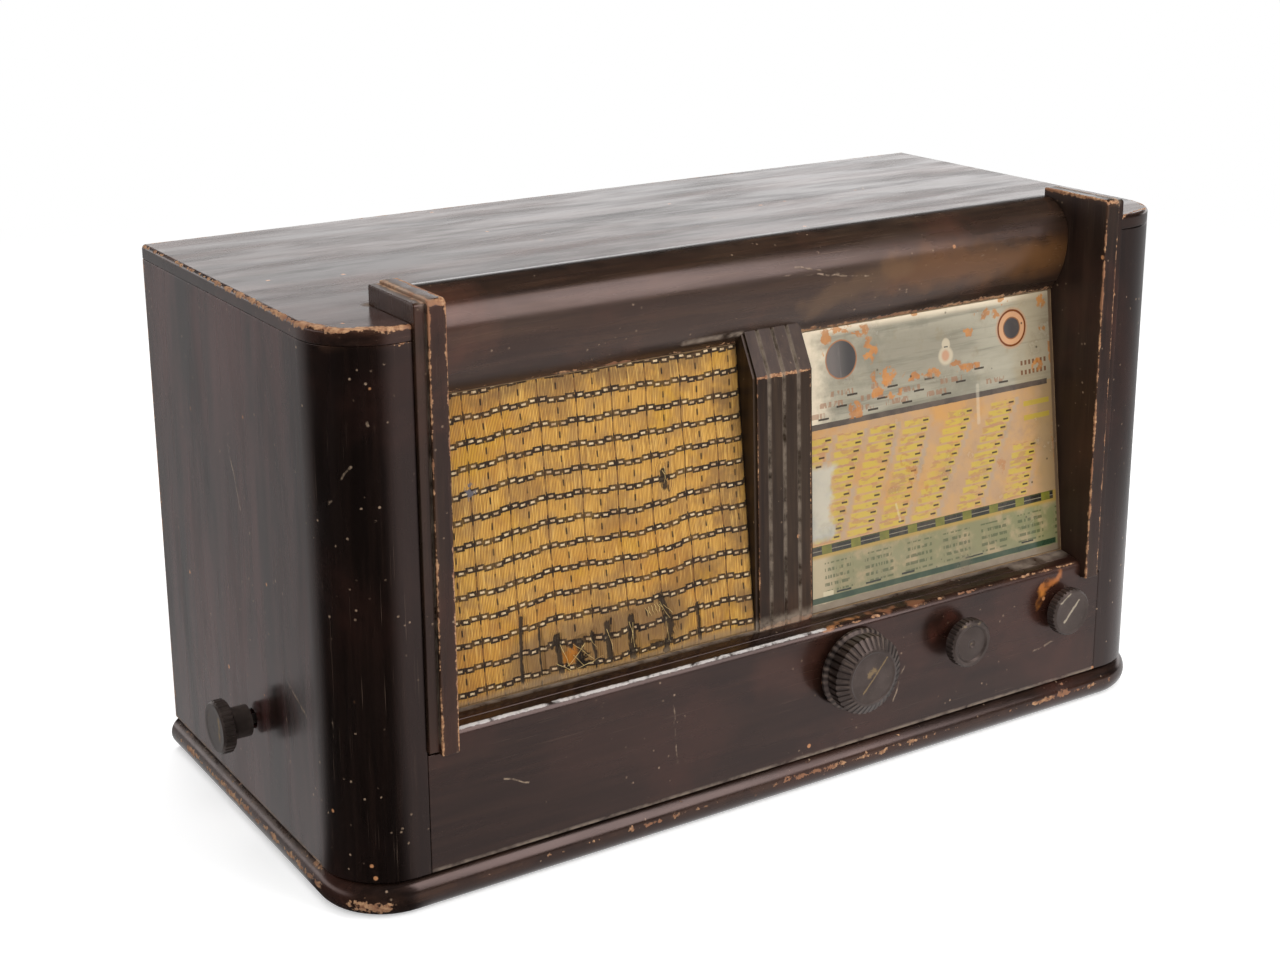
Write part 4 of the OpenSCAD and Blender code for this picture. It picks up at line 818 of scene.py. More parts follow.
def cloth_finish(colours, thread):
    """The cloth's weave: gold threads, dark rows with pale stitches, darker bands, tears, painted
    shade in the grooves and tears, and a painted lit patch.
    """
    f = Finish("speaker_cloth_weave")
    uv = f.add("UVMap", uv_map="weave")
    mm = f.vector("SCALE", uv, TO_MM)
    u, v, _ = f.split(mm)
    cell = f.fract((u - CELL_START) / CELL) * CELL
    row = (v - ROW_FOOT) / ROW_PITCH
    dv = (row - f.nearest(row)) * ROW_PITCH
    away = abs(dv)
    shake = (f.noise(900, 2) - 0.5) * 1.1
    spot = f.pair(cell + shake, dv + shake * 0.6)
    centres = ((2.9, 0.55), (8.2, -0.6), (14.6, -0.55), (20.2, 0.55))
    pale, dark = (f.most(*(f.group(box_group(), Place=spot, Centre=(a, b, 0), Half=(*half, 1))
                           for a, b in centres)) for half in ((1.45, 0.62), (2.9, 1.8)))
    core = f.step(away + abs(shake), 1.5, 1.1)
    broken = f.calc("MINIMUM", cell, CELL - cell)
    long = 3.6 + shake * 4.0
    tick = f.step(broken, 0.6, 0.3) * f.step(away - long, 0.8, -0.8)
    middle = abs(cell - CELL / 2)
    small = f.step(middle, 0.7, 0.3) * f.step(away, 4.6, 5.6) * f.step(
        f.noise(60, 2, at=uv), 0.34, 0.44)
    thread_wave = f.sine(u * (math.tau / (thread / MM)))
    own = f.noise(1.0, 2, 0.6, at=f.pair(u * 1.05, v * 0.05))
    patch = f.noise(38, 4, 0.6, at=uv)
    broad = f.noise(11, 3, 0.6, at=uv)
    panel = f.noise(1.0, 1, at=f.vector("MULTIPLY", mm, Vector((0.085, 0.0709, 1))))
    f.colour = f.mix(f.step(own, 0.35, 0.7), tuple(colours.straw), (0.7, 0.39, 0.085))
    f.lay(f.step(panel, 0.5, 0.62), (0.36, 0.21, 0.085), 0.45)
    f.lay(f.step(own, 0.5, 0.3), (0.24, 0.105, 0.025), 0.5)
    f.lay(f.step(patch, 0.48, 0.64), (0.3, 0.155, 0.05), 0.7)
    f.lay(f.step(broad, 0.5, 0.64), (0.5, 0.2, 0.02), 0.42)
    # Darker mottled bands: along the top under the roll, beside the pilaster and across the
    # middle
    darker_bands = near_lines(f, flat_lines(DARK_BANDS), uv)
    darker_bands = f.step(darker_bands, 0.0, 0.9) * f.step(patch, 0.36, 0.6)
    f.lay(darker_bands, (0.2, 0.115, 0.045), 0.75)
    yellow = f.step(f.noise(23, 4, 0.6, bend=0.5, at=uv), 0.56, 0.68)
    f.lay(yellow, (0.62, 0.33, 0.025), 0.6)
    # Painted shade: darker in the grooves between the upright threads
    f.lay(f.step(thread_wave, 0.3, -1.0), (0.12, 0.05, 0.014), 0.8)
    f.lay(f.step(own, 0.55, 0.75), (0.76, 0.48, 0.135), 0.6)
    gap = f.most(f.step(broken, 0.8, 0.2), f.step(middle, 0.6, 0.15) * 0.6)
    f.lay(gap * f.step(f.noise(140, 3, 0.6, at=uv), 0.32, 0.5), (0.13, 0.045, 0.012), 0.72)
    stain_at = f.vector("ADD", uv, f.vector("SCALE", f.add(
        "TexNoise", {"Vector": uv, "Scale": 70.0}, out=1), 0.012))
    stain = near_lines(f, flat_lines(BROWN), stain_at)
    f.lay(f.step(stain, 0.05, 0.6), (0.17, 0.095, 0.04), 0.78)
    browned = f.most(f.most(tick, small), f.most(dark, core))
    fade = f.blend(f.step(f.noise(90, 4, 0.65, at=uv), 0.42, 0.62), 0.96, 0.74)
    f.lay(browned * fade, (0.016, 0.009, 0.007))
    bright = f.mix(f.step(f.noise(160, 2, at=uv), 0.4, 0.6), (0.66, 0.5, 0.3), (0.44, 0.29, 0.16))
    f.lay(pale, bright, 0.92)
    spot_at = f.vector("ADD", mm, f.push(190.0, 3.0, 7.0, at=uv))
    # Painted shade: the slits are darkened where the tears open
    shaded_slit = near_lines(f, flat_lines(SLITS), uv)
    shaded_slit = f.step(shaded_slit + (f.noise(1.0, 3, at=f.pair(u * 1.6, v * 0.25)) - 0.5) * 1.3, 0.42, 0.6)
    f.lay(shaded_slit, (0.028, 0.017, 0.01), 0.93)
    # Painted light in the torn place: an orange lit patch, and a dark hole beside it as painted
    # shade
    lit = f.group(spot_group(), Place=spot_at, Centre=(-148.5, 13.5, 0), Radius=(9, 9, 1))
    f.lay(f.step(lit, 0.2, 0.5), (0.34, 0.12, 0.012))
    pit = f.group(spot_group(), Place=spot_at, Centre=(-140.5, 11.5, 0), Radius=(7, 8, 1))
    f.lay(f.step(pit, 0.15, 0.4), (0.012, 0.007, 0.004))
    foot = f.step(v, 6.5, 1.5)
    f.lay(foot, (0.23, 0.165, 0.105), 0.6)
    fluff = f.group(spot_group(), Place=spot_at, Centre=(-204, 121, 0), Radius=(5, 8, 1))
    fluff = f.step(fluff * f.noise(600, 4, at=uv), 0.1, 0.25)
    f.lay(fluff, (0.13, 0.115, 0.125))
    f.bump(f.most(dark, browned * 0.5), 0.35)
    f.bump(thread_wave, 0.10)
    f.bump(f.noise(2500, 3, at=uv), 0.06)
    f.bump(shaded_slit, -0.8)
    return f.done(0.72, Sheen_Weight=0.06, Sheen_Roughness=0.4, Sheen_Tint=(1.0, 0.8, 0.5, 1),
                  Specular_IOR_Level=0.3)


class RADIO_OT_cloth(Builder, bpy.types.Operator):
    """Builds the stretched loudspeaker cloth with its tears and loose threads"""

    bl_idname = "radio.cloth"
    bl_label = "Loudspeaker cloth"

    def relief(self, x, v, u, w):
        """How far a point stands out of the board, in millimetres.

        Thick rows, waves, the torn and folded place, and a lip and a hollow at each
        slit; (u, w) is the point's place on the warped weave."""
        dv = (w - ROW_FOOT) / ROW_PITCH
        dv = (dv - round(dv)) * ROW_PITCH
        cell = ((u - CELL_START) % CELL) / CELL
        out = 0.28 * math.exp(-(dv / 1.6) ** 2)
        out += 0.10 * math.cos(math.tau * cell) * math.exp(-(dv / 4) ** 2)
        wave = noise.noise(Vector((x * 0.022, v * 0.016, 4.2)))
        out += self.sizes.cloth_wave / MM * (0.5 + 0.8 * wave)
        torn = math.exp(-((x + 125) / 52) ** 4) * math.exp(-((v - 17) / 13) ** 4)
        fold = noise.noise(Vector((x * 0.17, v * 0.05, 9.1)))
        out += torn * (1.1 + 1.7 * fold)
        for start, end, reach in SLITS:
            far = line_distance(x, v, start, end)
            if far < 6:
                lip = math.exp(-((far - reach * 1.3) / 1.2) ** 2)
                out += 0.8 * lip - 1.4 * math.exp(-(far / reach) ** 2)
        edge = min(x - CLOTH_X0, CLOTH_X1 - x, v - CLOTH_V0, CLOTH_V1 - v)
        return max(0.0, out) * min(1, max(0, edge / 3)) ** 0.5

    def execute(self, context):
        bm = bmesh.new()
        bmesh.ops.create_grid(bm, x_segments=195, y_segments=160, size=0.5)
        layer = bm.loops.layers.uv.new("weave")
        wide, high = CLOTH_X1 - CLOTH_X0, CLOTH_V1 - CLOTH_V0
        warped = {}
        for vert in bm.verts:
            x = CLOTH_X0 + (vert.co.x + 0.5) * wide
            v = CLOTH_V0 + (vert.co.y + 0.5) * high
            sway = noise.noise(Vector((x * 0.021, v * 0.009, 1.7)))
            tug = noise.noise(Vector((x * 0.012, v * 0.03, 6.3)))
            sag = 3.0 * math.exp(-((x + 120) / 40) ** 2) * math.exp(-((v - 12) / 16) ** 2)
            u, w = x + 1.6 * tug, v + 3.4 * sway + sag
            warped[vert] = (u * MM, w * MM)
            vert.co = lean(x * MM, -(0.5 + self.relief(x, v, u, w)) * MM, v * MM)
        for face in bm.faces:
            for loop in face.loops:
                loop[layer].uv = warped[loop.vert]
        if bm.faces[:][0].normal.y > 0:
            bmesh.ops.reverse_faces(bm, faces=bm.faces)
        finish = cloth_finish(self.colours, self.sizes.thread)
        cloth = piece(bm, "speaker_cloth_sheet", finish, ["speaker_cloth"],
                      weighted=False)
        wall = cloth.modifiers.new("Thickness", "SOLIDIFY")
        wall.thickness = 0.0004
        wall.offset = -1
        threads = []
        for k, (x0, v0, x1, v1) in enumerate(LOOSE):
            route = []
            for i in range(7):
                t = i / 6
                bow = math.sin(math.pi * t)
                wild = noise.noise(Vector((k * 3.1, t * 2, 0.5)))
                x, v = x0 + t * (x1 - x0) + 1.3 * wild * bow, v0 + t * (v1 - v0)
                rise = max(self.relief(x, v, x, v), 0.3) + 0.55 + 0.9 * bow
                route.append(lean(x * MM, -rise * MM, v * MM))
            threads.append(tube(route, 0.16, 5))
        loose = piece(join(*threads), "loose_threads", thread_finish())
        return {"FINISHED"}


def thread_finish():
    """The torn threads that stand off the cloth."""
    f = Finish("loose_thread")
    tone = f.noise(180, 3)
    f.colour = f.mix(f.step(tone, 0.35, 0.65), (0.62, 0.46, 0.19), (0.3, 0.19, 0.07))
    f.bump(f.noise(2600, 2), 0.05)
    return f.done(0.8)


# Dial

# Heights up the lean where the print's three fields meet, in millimetres
FIELD_HEIGHTS = (41.8, 117.1)
LONG_GLARE = ((167.5, 122, 0), (167.3, 98, 0))


class DialPrint(Finish):
    """Aged print under the dial's glass, drawn in millimetres across and up the lean."""

    def __init__(self, name):
        super().__init__(name)
        self.x = self.along(X_RUN)
        self.v = self.along(UP_LEAN, -FOOT_UP)
        self.jog = (self.noise(240, 3) - 0.5) * 0.6
        self.at = self.pair(self.x + self.jog, self.v + self.jog)
        self.cloud = self.noise(26, 5, 0.6)
        self.smudge = self.noise(70, 4, 0.6)
        self.torn = None

    def box(self, x0, v0, x1, v1):
        """1 inside a rectangle between two corners."""
        return self.group(box_group(), Place=self.at, Centre=((x0 + x1) / 2, (v0 + v1) / 2, 0),
                          Half=((x1 - x0) / 2, (v1 - v0) / 2, 1))

    def spot(self, cx, cv, rx, rv, at=None):
        """A round or oval spot that fades from its middle."""
        return self.group(spot_group(), Place=at or self.at, Centre=(cx, cv, 0),
                          Radius=(rx, rv, 1))

    def patches(self, places, low=0.06, high=0.34):
        """Ragged spots, for rust and rubbed places."""
        if self.torn is None:
            self.torn = self.vector("ADD", self.at, self.push(90.0, 4.0, 9.0, 0.6))
        found = self.most(*(self.spot(*place, at=self.torn) for place in places))
        eaten = self.blend(self.step(self.noise(420, 3, 0.7), 0.35, 0.65), 0.8, 1.3)
        return self.step(found * eaten, low, high)

    def from_centre(self, cx, cv):
        """Distance from a centre."""
        return self.length(self.vector("SUBTRACT", self.at, Vector((cx, cv, 0))))

    def streak(self, ends, reach):
        """A painted glare: a pale streak between two places."""
        flat = self.vector("SCALE", self.at, MM)
        near = self.step(near_lines(self, [(*ends, reach, 1)], flat), 0.1, 0.7)
        self.lay(near * self.step(self.smudge, 0.3, 0.5), (0.6, 0.53, 0.4), 0.32)

    def border(self):
        """The dark line between the upper and the middle field."""
        dark = self.mix(self.step(self.smudge, 0.3, 0.7), (0.06, 0.045, 0.035),
                        (0.11, 0.08, 0.06))
        self.lay(self.box(20, 114.3, 228, 117.9), dark)

    def aged(self):
        """Rubs, flecks and a brown margin over the print."""
        flecks = self.step(self.cells(95), 0.10, 0.05)
        self.lay(flecks * self.step(self.noise(30, 2), 0.52, 0.58), (0.05, 0.035, 0.022), 0.8)
        self.lay(self.step(self.x + self.jog, 231.2, 232.2), (0.15, 0.095, 0.055))
        grime = self.step(self.noise(48, 5, 0.65), 0.5, 0.8)
        self.lay(grime, (0.15, 0.11, 0.065), 0.4)
        self.bump(self.noise(900, 3), 0.012)
        return self.done(self.blend(grime, 0.16, 0.42), Coat_Weight=0.55, Coat_Roughness=0.08,
                         Coat_IOR=1.5)


def dial_upper(ground):
    """Silvery field with the two round windows, dashes and rust."""
    f = DialPrint("dial_upper_print")
    streak = f.noise(16, 6, 0.62, (0.22, 1, 1.7), 0.3)
    f.colour = f.mix(f.step(streak, 0.40, 0.62), ground, (0.35, 0.315, 0.235))
    middle = f.spot(120, 152, 75, 26)
    f.lay(f.step(middle, 0.05, 0.7), (0.19, 0.165, 0.12), 0.6)
    f.lay(f.step(f.cloud, 0.50, 0.68), (0.14, 0.13, 0.095), 0.5)
    f.lay(f.step(f.noise(90, 4, 0.7, (0.10, 1, 1.4)), 0.50, 0.66), (0.12, 0.11, 0.08), 0.5)
    f.lay(f.step(f.smudge, 0.55, 0.75), (0.22, 0.17, 0.10), 0.5)
    edge = (f.smudge - 0.5) * 40 + f.x
    f.lay(f.most(f.step(f.v, 170, 176), f.step(edge, 54, 28)), (0.72, 0.6, 0.44), 0.85)
    f.lay(f.step(edge, 190, 214), (0.33, 0.26, 0.16), 0.6)
    f.border()
    upper = ((42.4, 120.4), (56.9, 126.5), (65.6, 132.5), (81.3, 120.5), (89.0, 126.5),
             (97.8, 132.7), (108.8, 120.7), (118.9, 126.7), (127.9, 132.9), (141.3, 120.9),
             (153.8, 127.1), (169.6, 133.2), (189.9, 121.2))
    strokes = f.most(*(f.box(cx - 17, cv + 0.6, cx + 1.0, cv + 4.0) for cx, cv in upper))
    short = f.step(f.noise(620, 1, 0.5, (1, 0.2, 0.2)), 0.46, 0.52)
    f.lay(strokes * short, (0.25, 0.1, 0.045), 0.6)
    dashes = f.most(*(f.box(cx - 4.1, cv - 0.62, cx + 4.1, cv + 0.62) for cx, cv in upper))
    f.lay(dashes, (0.028, 0.018, 0.011), 0.95)
    bars = f.step(f.fract((f.x - 205.5) / 3.4), 0.55, 0.5)
    rows = f.most(f.box(205.5, 129.5, 228.5, 132.5), f.box(205.5, 123.1, 228.5, 126.1))
    f.lay(bars * rows, (0.13, 0.04, 0.014), 0.85)
    rust = f.patches((
        (48, 168, 6, 10), (60, 174, 9, 5), (74, 171, 8, 6), (81, 158, 6, 11), (91, 140, 13, 7),
        (82, 131, 12, 5), (67, 121, 7, 10), (116, 137, 11, 4.5), (132, 136, 12, 4),
        (100, 128, 9, 3), (160, 135, 14, 3), (174, 168.5, 8, 5), (186, 168, 5, 6),
        (162, 158, 5, 4), (192.5, 174, 6, 5), (226, 171, 5, 6), (226, 152, 4, 4),
        (220, 128, 7, 6), (233, 140, 3, 20), (118, 176, 4, 2.5), (150, 138, 6, 4)))
    f.lay(rust, f.mix(f.step(f.smudge, 0.35, 0.65), (0.50, 0.19, 0.035), (0.33, 0.12, 0.03)),
          0.8)
    f.lay(f.step(f.most(f.spot(142.3, 145.5, 7, 7), f.spot(142.8, 152.5, 4, 5)), 0.0, 0.3),
          (0.48, 0.4, 0.28), 0.85)
    f.lay(f.step(f.spot(142.1, 145.6, 4.2, 4.6), 0.0, 0.5), (0.42, 0.19, 0.10), 0.75)
    f.lay(f.box(141, 150.6, 144.4, 151.5), (0.10, 0.09, 0.07))
    # Painted glare: a long pale streak on the glass
    f.streak(LONG_GLARE, 2.2)
    # The indicator's window is painted dark, as painted shade of the inside seen through it,
    # lighter at its left and scuffed
    eye = f.from_centre(58.5, 155.5)
    window = f.mix(f.step(f.x, 50, 66), (0.13, 0.11, 0.10), (0.045, 0.040, 0.038))
    scuff = f.step(f.noise(60, 3, 0.5, (3, 1, 0.4)), 0.56, 0.7)
    window = f.mix(scuff * 0.35, window, (0.22, 0.19, 0.17))
    f.lay(f.band(eye, 11.0, 12.3, 0.4), (0.30, 0.12, 0.05))
    f.lay(f.step(eye, 11.6, 11.3), window)
    lamp = f.from_centre(199.0, 155.4)
    f.lay(f.step(lamp, 14.5, 12.5), (0.42, 0.22, 0.11), 0.6)
    f.lay(f.step(lamp, 12.2, 11.8), (0.50, 0.27, 0.14))
    f.lay(f.band(lamp, 10.9, 12.3, 0.2), (0.14, 0.035, 0.010))
    f.lay(f.band(lamp, 6.6, 7.4, 0.2), (0.22, 0.09, 0.04))
    f.lay(f.step(lamp, 7.0, 6.4), (0.06, 0.052, 0.05))
    return f.aged()


def dial_middle():
    """Field of yellow bars with small dashes in leaning columns."""
    f = DialPrint("dial_middle_print")
    rank = f.nearest((f.v - 45.2) / 5.14)
    climb = rank * 5.14
    drow = abs(f.v - 45.2 - climb)
    f.colour = f.mix(f.step(f.smudge, 0.35, 0.65), (0.39, 0.24, 0.13), (0.45, 0.26, 0.11))
    columns = ((10.8, 0.55, 8.6, 12.4), (46.9, 0.372, -0.4, 12.4), (72.9, 0.368, -0.4, 12.4),
               (98.8, 0.395, -0.4, 12.4), (125.1, 0.56, -0.4, 12.4), (163.0, 0.535, -0.4, 12.4),
               (203.1, 0.335, -0.4, 6.4))
    x = f.x + f.jog * 0.5
    marks, bars, strips = None, None, None
    for foot, slope, low, high in columns:
        side = x - (climb * slope + foot)
        rows = f.band(rank, low, high, 0.05)
        found = [rows * f.band(side, *span)
                 for span in ((-2.2, 2.2, 0.2), (-17.5, 2.8, 1.0), (3.2, 7.0, 1.5))]
        if marks is None:
            marks, bars, strips = found
        else:
            marks, bars, strips = (f.most(a, b) for a, b in zip((marks, bars, strips), found))
    f.lay(strips * f.step(f.smudge, 0.35, 0.6), (0.32, 0.255, 0.19), 0.75)
    f.lay(f.step(f.cloud, 0.50, 0.66), (0.50, 0.23, 0.04), 0.5)
    f.lay(f.step(f.noise(31, 5, 0.7), 0.56, 0.68), (0.31, 0.20, 0.12), 0.5)
    bar = bars * f.step(drow, 2.2, 1.5)
    f.lay(bar * f.step(f.smudge, 0.74, 0.5), (0.46, 0.33, 0.045), 0.85)
    bits = f.step(f.noise(300, 2, 0.5, (0.45, 1, 1.3)), 0.52, 0.6)
    f.lay(bits * bars, (0.35, 0.16, 0.085), 0.6)
    rim = f.x + (f.smudge - 0.5) * 18 + f.v * -0.1
    bare = f.step(rim, 41.5, 36.5) * f.band(f.v + f.jog * 8, 45, 91, 3)
    f.lay(bare, f.mix(f.step(f.cloud, 0.4, 0.6), (0.44, 0.40, 0.32), (0.33, 0.33, 0.29)), 0.92)
    edge = f.x + (f.smudge - 0.5) * 22
    f.lay(f.step(edge, 211, 224), (0.30, 0.20, 0.10), 0.85)
    f.lay(f.most(f.box(206.5, 102.0, 229, 105.4), f.box(206.5, 92.6, 229, 96.0)),
          (0.4, 0.29, 0.022), 0.75)
    f.lay(marks * f.step(drow, 0.75, 0.45), (0.045, 0.024, 0.011), 0.95)
    rust = f.patches(((108, 74, 9, 12), (140, 78, 7, 11), (104, 84, 6, 6), (232, 75, 3, 30),
                      (120, 60, 5, 8), (185, 66, 5, 9)), 0.2, 0.6)
    f.lay(rust, (0.36, 0.13, 0.03), 0.5)
    f.border()
    # Painted glare: a long and a short pale streak on the glass
    f.streak(LONG_GLARE, 2.2)
    f.streak(((95.4, 57, 0), (98, 46, 0)), 1.3)
    return f.aged()


def dial_lower():
    """Segmented band, lines of short marks and the green strip at the foot."""
    f = DialPrint("dial_lower_print")
    streak = f.noise(14, 5, 0.6, (0.4, 1, 1.6), 0.6)
    f.colour = f.mix(f.step(streak, 0.4, 0.62), (0.19, 0.175, 0.085), (0.29, 0.24, 0.145))
    f.lay(f.step(f.x, 165, 215), (0.14, 0.16, 0.055), 0.5)
    f.lay(f.step(f.smudge, 0.46, 0.66), (0.38, 0.27, 0.15), 0.6)
    f.lay(f.step(f.x, 48, 34), (0.46, 0.36, 0.23), 0.7)
    f.lay(f.step(f.v, 32.5, 35.5), (0.36, 0.22, 0.045), 0.85)
    line = abs(f.fract(f.v / 4.7) - 0.5)
    block = f.fract((f.x - 32.0) / 32.2)
    bits = f.step(line, 0.27, 0.17) * f.band(block, 0.12, 0.82, 0.02)
    short = f.noise(520, 1, 0.5, (1, 0.15, 0.15))
    bits = bits * f.step(short, 0.44, 0.5)
    f.lay(bits * f.band(f.v, 11.5, 30.5, 0.3), (0.045, 0.06, 0.022), 0.7)
    dashes = f.most(*(f.box(a, low, b, high) for a, b, low, high in (
        (44.5, 56, 9.9, 11.1), (67.7, 80, 10.4, 11.6), (97, 107.5, 10.4, 11.7),
        (150.5, 165.5, 10.3, 11.2), (199.5, 210, 10.5, 11.6))))
    f.lay(dashes, (0.022, 0.022, 0.012))
    f.lay(f.box(34, 8.8, 42, 12.2), (0.50, 0.42, 0.27))
    part = f.fract((f.x - 42.6) / 22.95) * 22.95
    olive = f.mix(f.step(f.smudge, 0.4, 0.7), (0.17, 0.155, 0.022), (0.11, 0.105, 0.02))
    segment = f.mix(f.step(f.smudge, 0.4, 0.7), (0.022, 0.019, 0.013), (0.055, 0.042, 0.028))
    segment = f.mix(f.band(f.v, 38.4, 38.9) * 0.7, segment, (0.26, 0.22, 0.15))
    band = f.mix(f.step(part, 15.2, 15.5), segment, olive)
    edges = f.most(f.band(f.v, 41.0, 41.6), f.band(f.v, 36.0, 36.5))
    band = f.mix(edges * 0.5, band, (0.08, 0.085, 0.015))
    f.lay(f.band(f.v, 36.1, 41.9) * f.step(f.x, 229.4, 229.0), band)
    green = f.mix(f.step(f.smudge, 0.35, 0.7), (0.005, 0.026, 0.012), (0.014, 0.046, 0.022))
    strip = f.band(f.v, 5.4, 9.2, 0.25) * f.step(f.x, 230.5, 229.5)
    f.lay(strip, green, 0.92)
    foot = f.mix(f.noise(160, 4), (0.15, 0.11, 0.07), (0.26, 0.20, 0.135))
    f.lay(f.step(f.v + f.jog * 4, 5.4, 4.6), foot)
    return f.aged()


class RADIO_OT_dial(Builder, bpy.types.Operator):
    """Builds the leaning dial glass with its print"""

    bl_idname = "radio.dial"
    bl_label = "Dial"

    def execute(self, context):
        bm = from_cad("dial_glass", 0.4, 3)
        for v in FIELD_HEIGHTS:
            bmesh.ops.bisect_plane(bm, geom=list(bm.verts) + list(bm.edges) + list(bm.faces),
                                   plane_co=lean(0, 0, v * MM), plane_no=UP_LEAN, dist=1e-6)
        for face in bm.faces:
            v = (face.calc_center_median() - FOOT).dot(UP_LEAN) / MM
            face.material_index = sum(v > height for height in FIELD_HEIGHTS)
        glass = piece(bm, "dial_glass_printed", dial_lower(), ["dial_glass"])
        glass.data.materials.append(dial_middle())
        glass.data.materials.append(dial_upper(tuple(self.colours.print_ground)))
        return {"FINISHED"}


# Knobs


class RADIO_OT_knobs(Builder, bpy.types.Operator):
    """Builds the four knobs with their worn faces"""

    bl_idname = "radio.knobs"
    bl_label = "Knobs"

    def execute(self, context):
        dark = tuple(self.colours.moulding)
        finishes = {
            "tuning": moulded(
                "tuning_bakelite", dark, [((34, -157.2, 66), (52, -157.2, 86), 1.1, 0.9),
                                          ((38, -157.3, 77), (42, -157.3, 80), 5, 0.7)],
                (0.22, 0.15, 0.07), (41, 75, 36, 17.5)),
            "volume": moulded(
                "volume_bakelite", dark, [((118, -151, 88), (135, -151, 88), 2.5, 0.5),
                                          ((126.5, -150, 75), (127, -150, 75.5), 3, 0.6)]),
            "tone": moulded(
                "tone_bakelite", dark, [((210, -148.5, 70), (222, -148.5, 83), 1.6, 1),
                                        ((206, -148.5, 84), (214, -148.5, 89), 2, 0.6)],
                (0.42, 0.36, 0.27)),
            "wave": moulded(
                "wave_bakelite", dark, [((-324, -10, 84), (-324, -10, 70), 3, 0.7),
                                        ((-324, 4, 82), (-324, 8, 75), 2, 0.5)])}
        for body, finish in finishes.items():
            node = body + "_knob"
            piece(from_cad(node, 0.18, angle=24), "moulded_" + node, finish,
                  [node], body)
        return {"FINISHED"}


# The works inside

# The loudspeaker's middle, across and up the lean, in millimetres
SPEAKER = (-127, 92)
# The wheels of the dial cord: middle across and up, and radius at the cord; then the
# plane in which the cord runs, all in millimetres
SPINDLE, LEFT, RIGHT, DRUM = (41, 75, 4), (28, 230, 8), (232, 230, 8), (130, 145, 55)
CORD_Y = -67
# The output transformer's middle and half the depth of its plates, in metres
OUTPUT_Y, HALF_STACK = -0.038, 0.0093
# Depths behind the leaning face at which a lamp's cap, the tuning indicator's silver
# and its base begin, in millimetres
LAMP_CAPS, EYE_SILVER, EYE_BASE = 20, 12.5, 68
MOVING = {"tuning_shaft": "tuning", "volume_shaft": "volume", "tone_shaft": "tone",
          "wave_shaft": "wave", "dial_drum": "gang", "gang_rotor": "gang",
          "left_pulley": "pulley_left", "right_pulley": "pulley_right", "pointer": "pointer"}


def rework(nodes, finish, width=0.3, angle=28):
    """Replaces CAD nodes by copies with rounded edges and a finish."""
    return [piece(from_cad(node, width, 1, angle), "worked_" + node, finish, [node],
                  MOVING.get(node, "cabinet")) for node in nodes]


def second_finish(made, finish, depth):
    """Gives another finish to the faces that lie deeper behind the leaning face, in mm."""
    made.data.materials.append(finish)
    limit = lean(0, depth * MM, 0).dot(INTO_LEAN)
    for face in made.data.polygons:
        if face.center.dot(INTO_LEAN) > limit:
            face.material_index = len(made.data.materials) - 1


def stacked_plates(name):
    """Thin iron plates on edge, varnished, with rust between them."""
    f = Finish(name)
    plate = f.fract(f.along(Y_RUN) / 0.8)
    slit = f.step(abs(plate - 0.5), 0.3, 0.46)
    tone = f.noise(1.0, 1, at=f.pair(f.along(Y_RUN) * 1.25, 0.0))
    f.colour = f.mix(tone, (0.075, 0.075, 0.08), (0.15, 0.145, 0.14))
    f.lay(f.step(f.noise(34, 6, 0.7), 0.5, 0.66), (0.17, 0.068, 0.028), 0.7)
    f.lay(slit, (0.018, 0.014, 0.012))
    f.bump(slit, -0.2)
    f.bump(f.noise(600, 3), 0.03)
    return f.done(f.blend(f.noise(40, 4), 0.42, 0.62), Metallic=0.5)


def wound_paper(name):
    """A varnished paper wrap over turns of wire, with threads that bind it."""
    f = Finish(name)
    turn = f.sine(f.along(Z_RUN) * (math.tau / 0.9))
    tie = abs(f.fract(f.along(Z_RUN, 3.0) / 11.0) - 0.5)
    tie = f.step(tie, 0.09, 0.05)
    mottle = f.noise(50, 6, 0.65)
    f.colour = f.mix(f.step(mottle, 0.32, 0.7), (0.34, 0.21, 0.085), (0.17, 0.085, 0.03))
    f.lay(tie, (0.5, 0.43, 0.28))
    f.lay(f.step(f.noise(90, 4), 0.58, 0.7), (0.07, 0.045, 0.025), 0.5)
    f.bump(turn, 0.10)
    f.bump(tie, 0.3)
    return f.done(f.blend(mottle, 0.35, 0.6))


def cone_paper(name):
    """Grey felted paper with pressed rings about the loudspeaker's axis."""
    f = Finish(name)
    v = f.along(UP_LEAN, -FOOT_UP - SPEAKER[1])
    far = f.length(f.pair(f.along(X_RUN, -SPEAKER[0]), v))
    ring = f.sine(far * 1.05)
    felt = f.noise(420, 5, 0.7)
    f.colour = f.mix(f.step(felt, 0.35, 0.65), (0.04, 0.034, 0.03), (0.085, 0.075, 0.066))
    f.lay(f.step(f.noise(30, 5), 0.52, 0.7), (0.16, 0.13, 0.1), 0.5)
    f.lay(f.step(far, 15.5, 13.5), (0.1, 0.072, 0.05))
    f.bump(ring, 0.35)
    f.bump(felt, 0.08)
    return f.done(0.85)


def fibre_sheet(name, pale, dark):
    """Pressed paper and resin: warm brown, with fibres and a dull shine."""
    f = Finish(name)
    flow = f.noise(16, 6, 0.65, (1, 1, 5), 0.8)
    f.colour = f.mix(f.step(flow, 0.35, 0.65), pale, dark)
    f.lay(f.step(f.noise(700, 3), 0.6, 0.7), dark, 0.3)
    f.bump(flow, 0.03)
    return f.done(f.blend(flow, 0.3, 0.48))


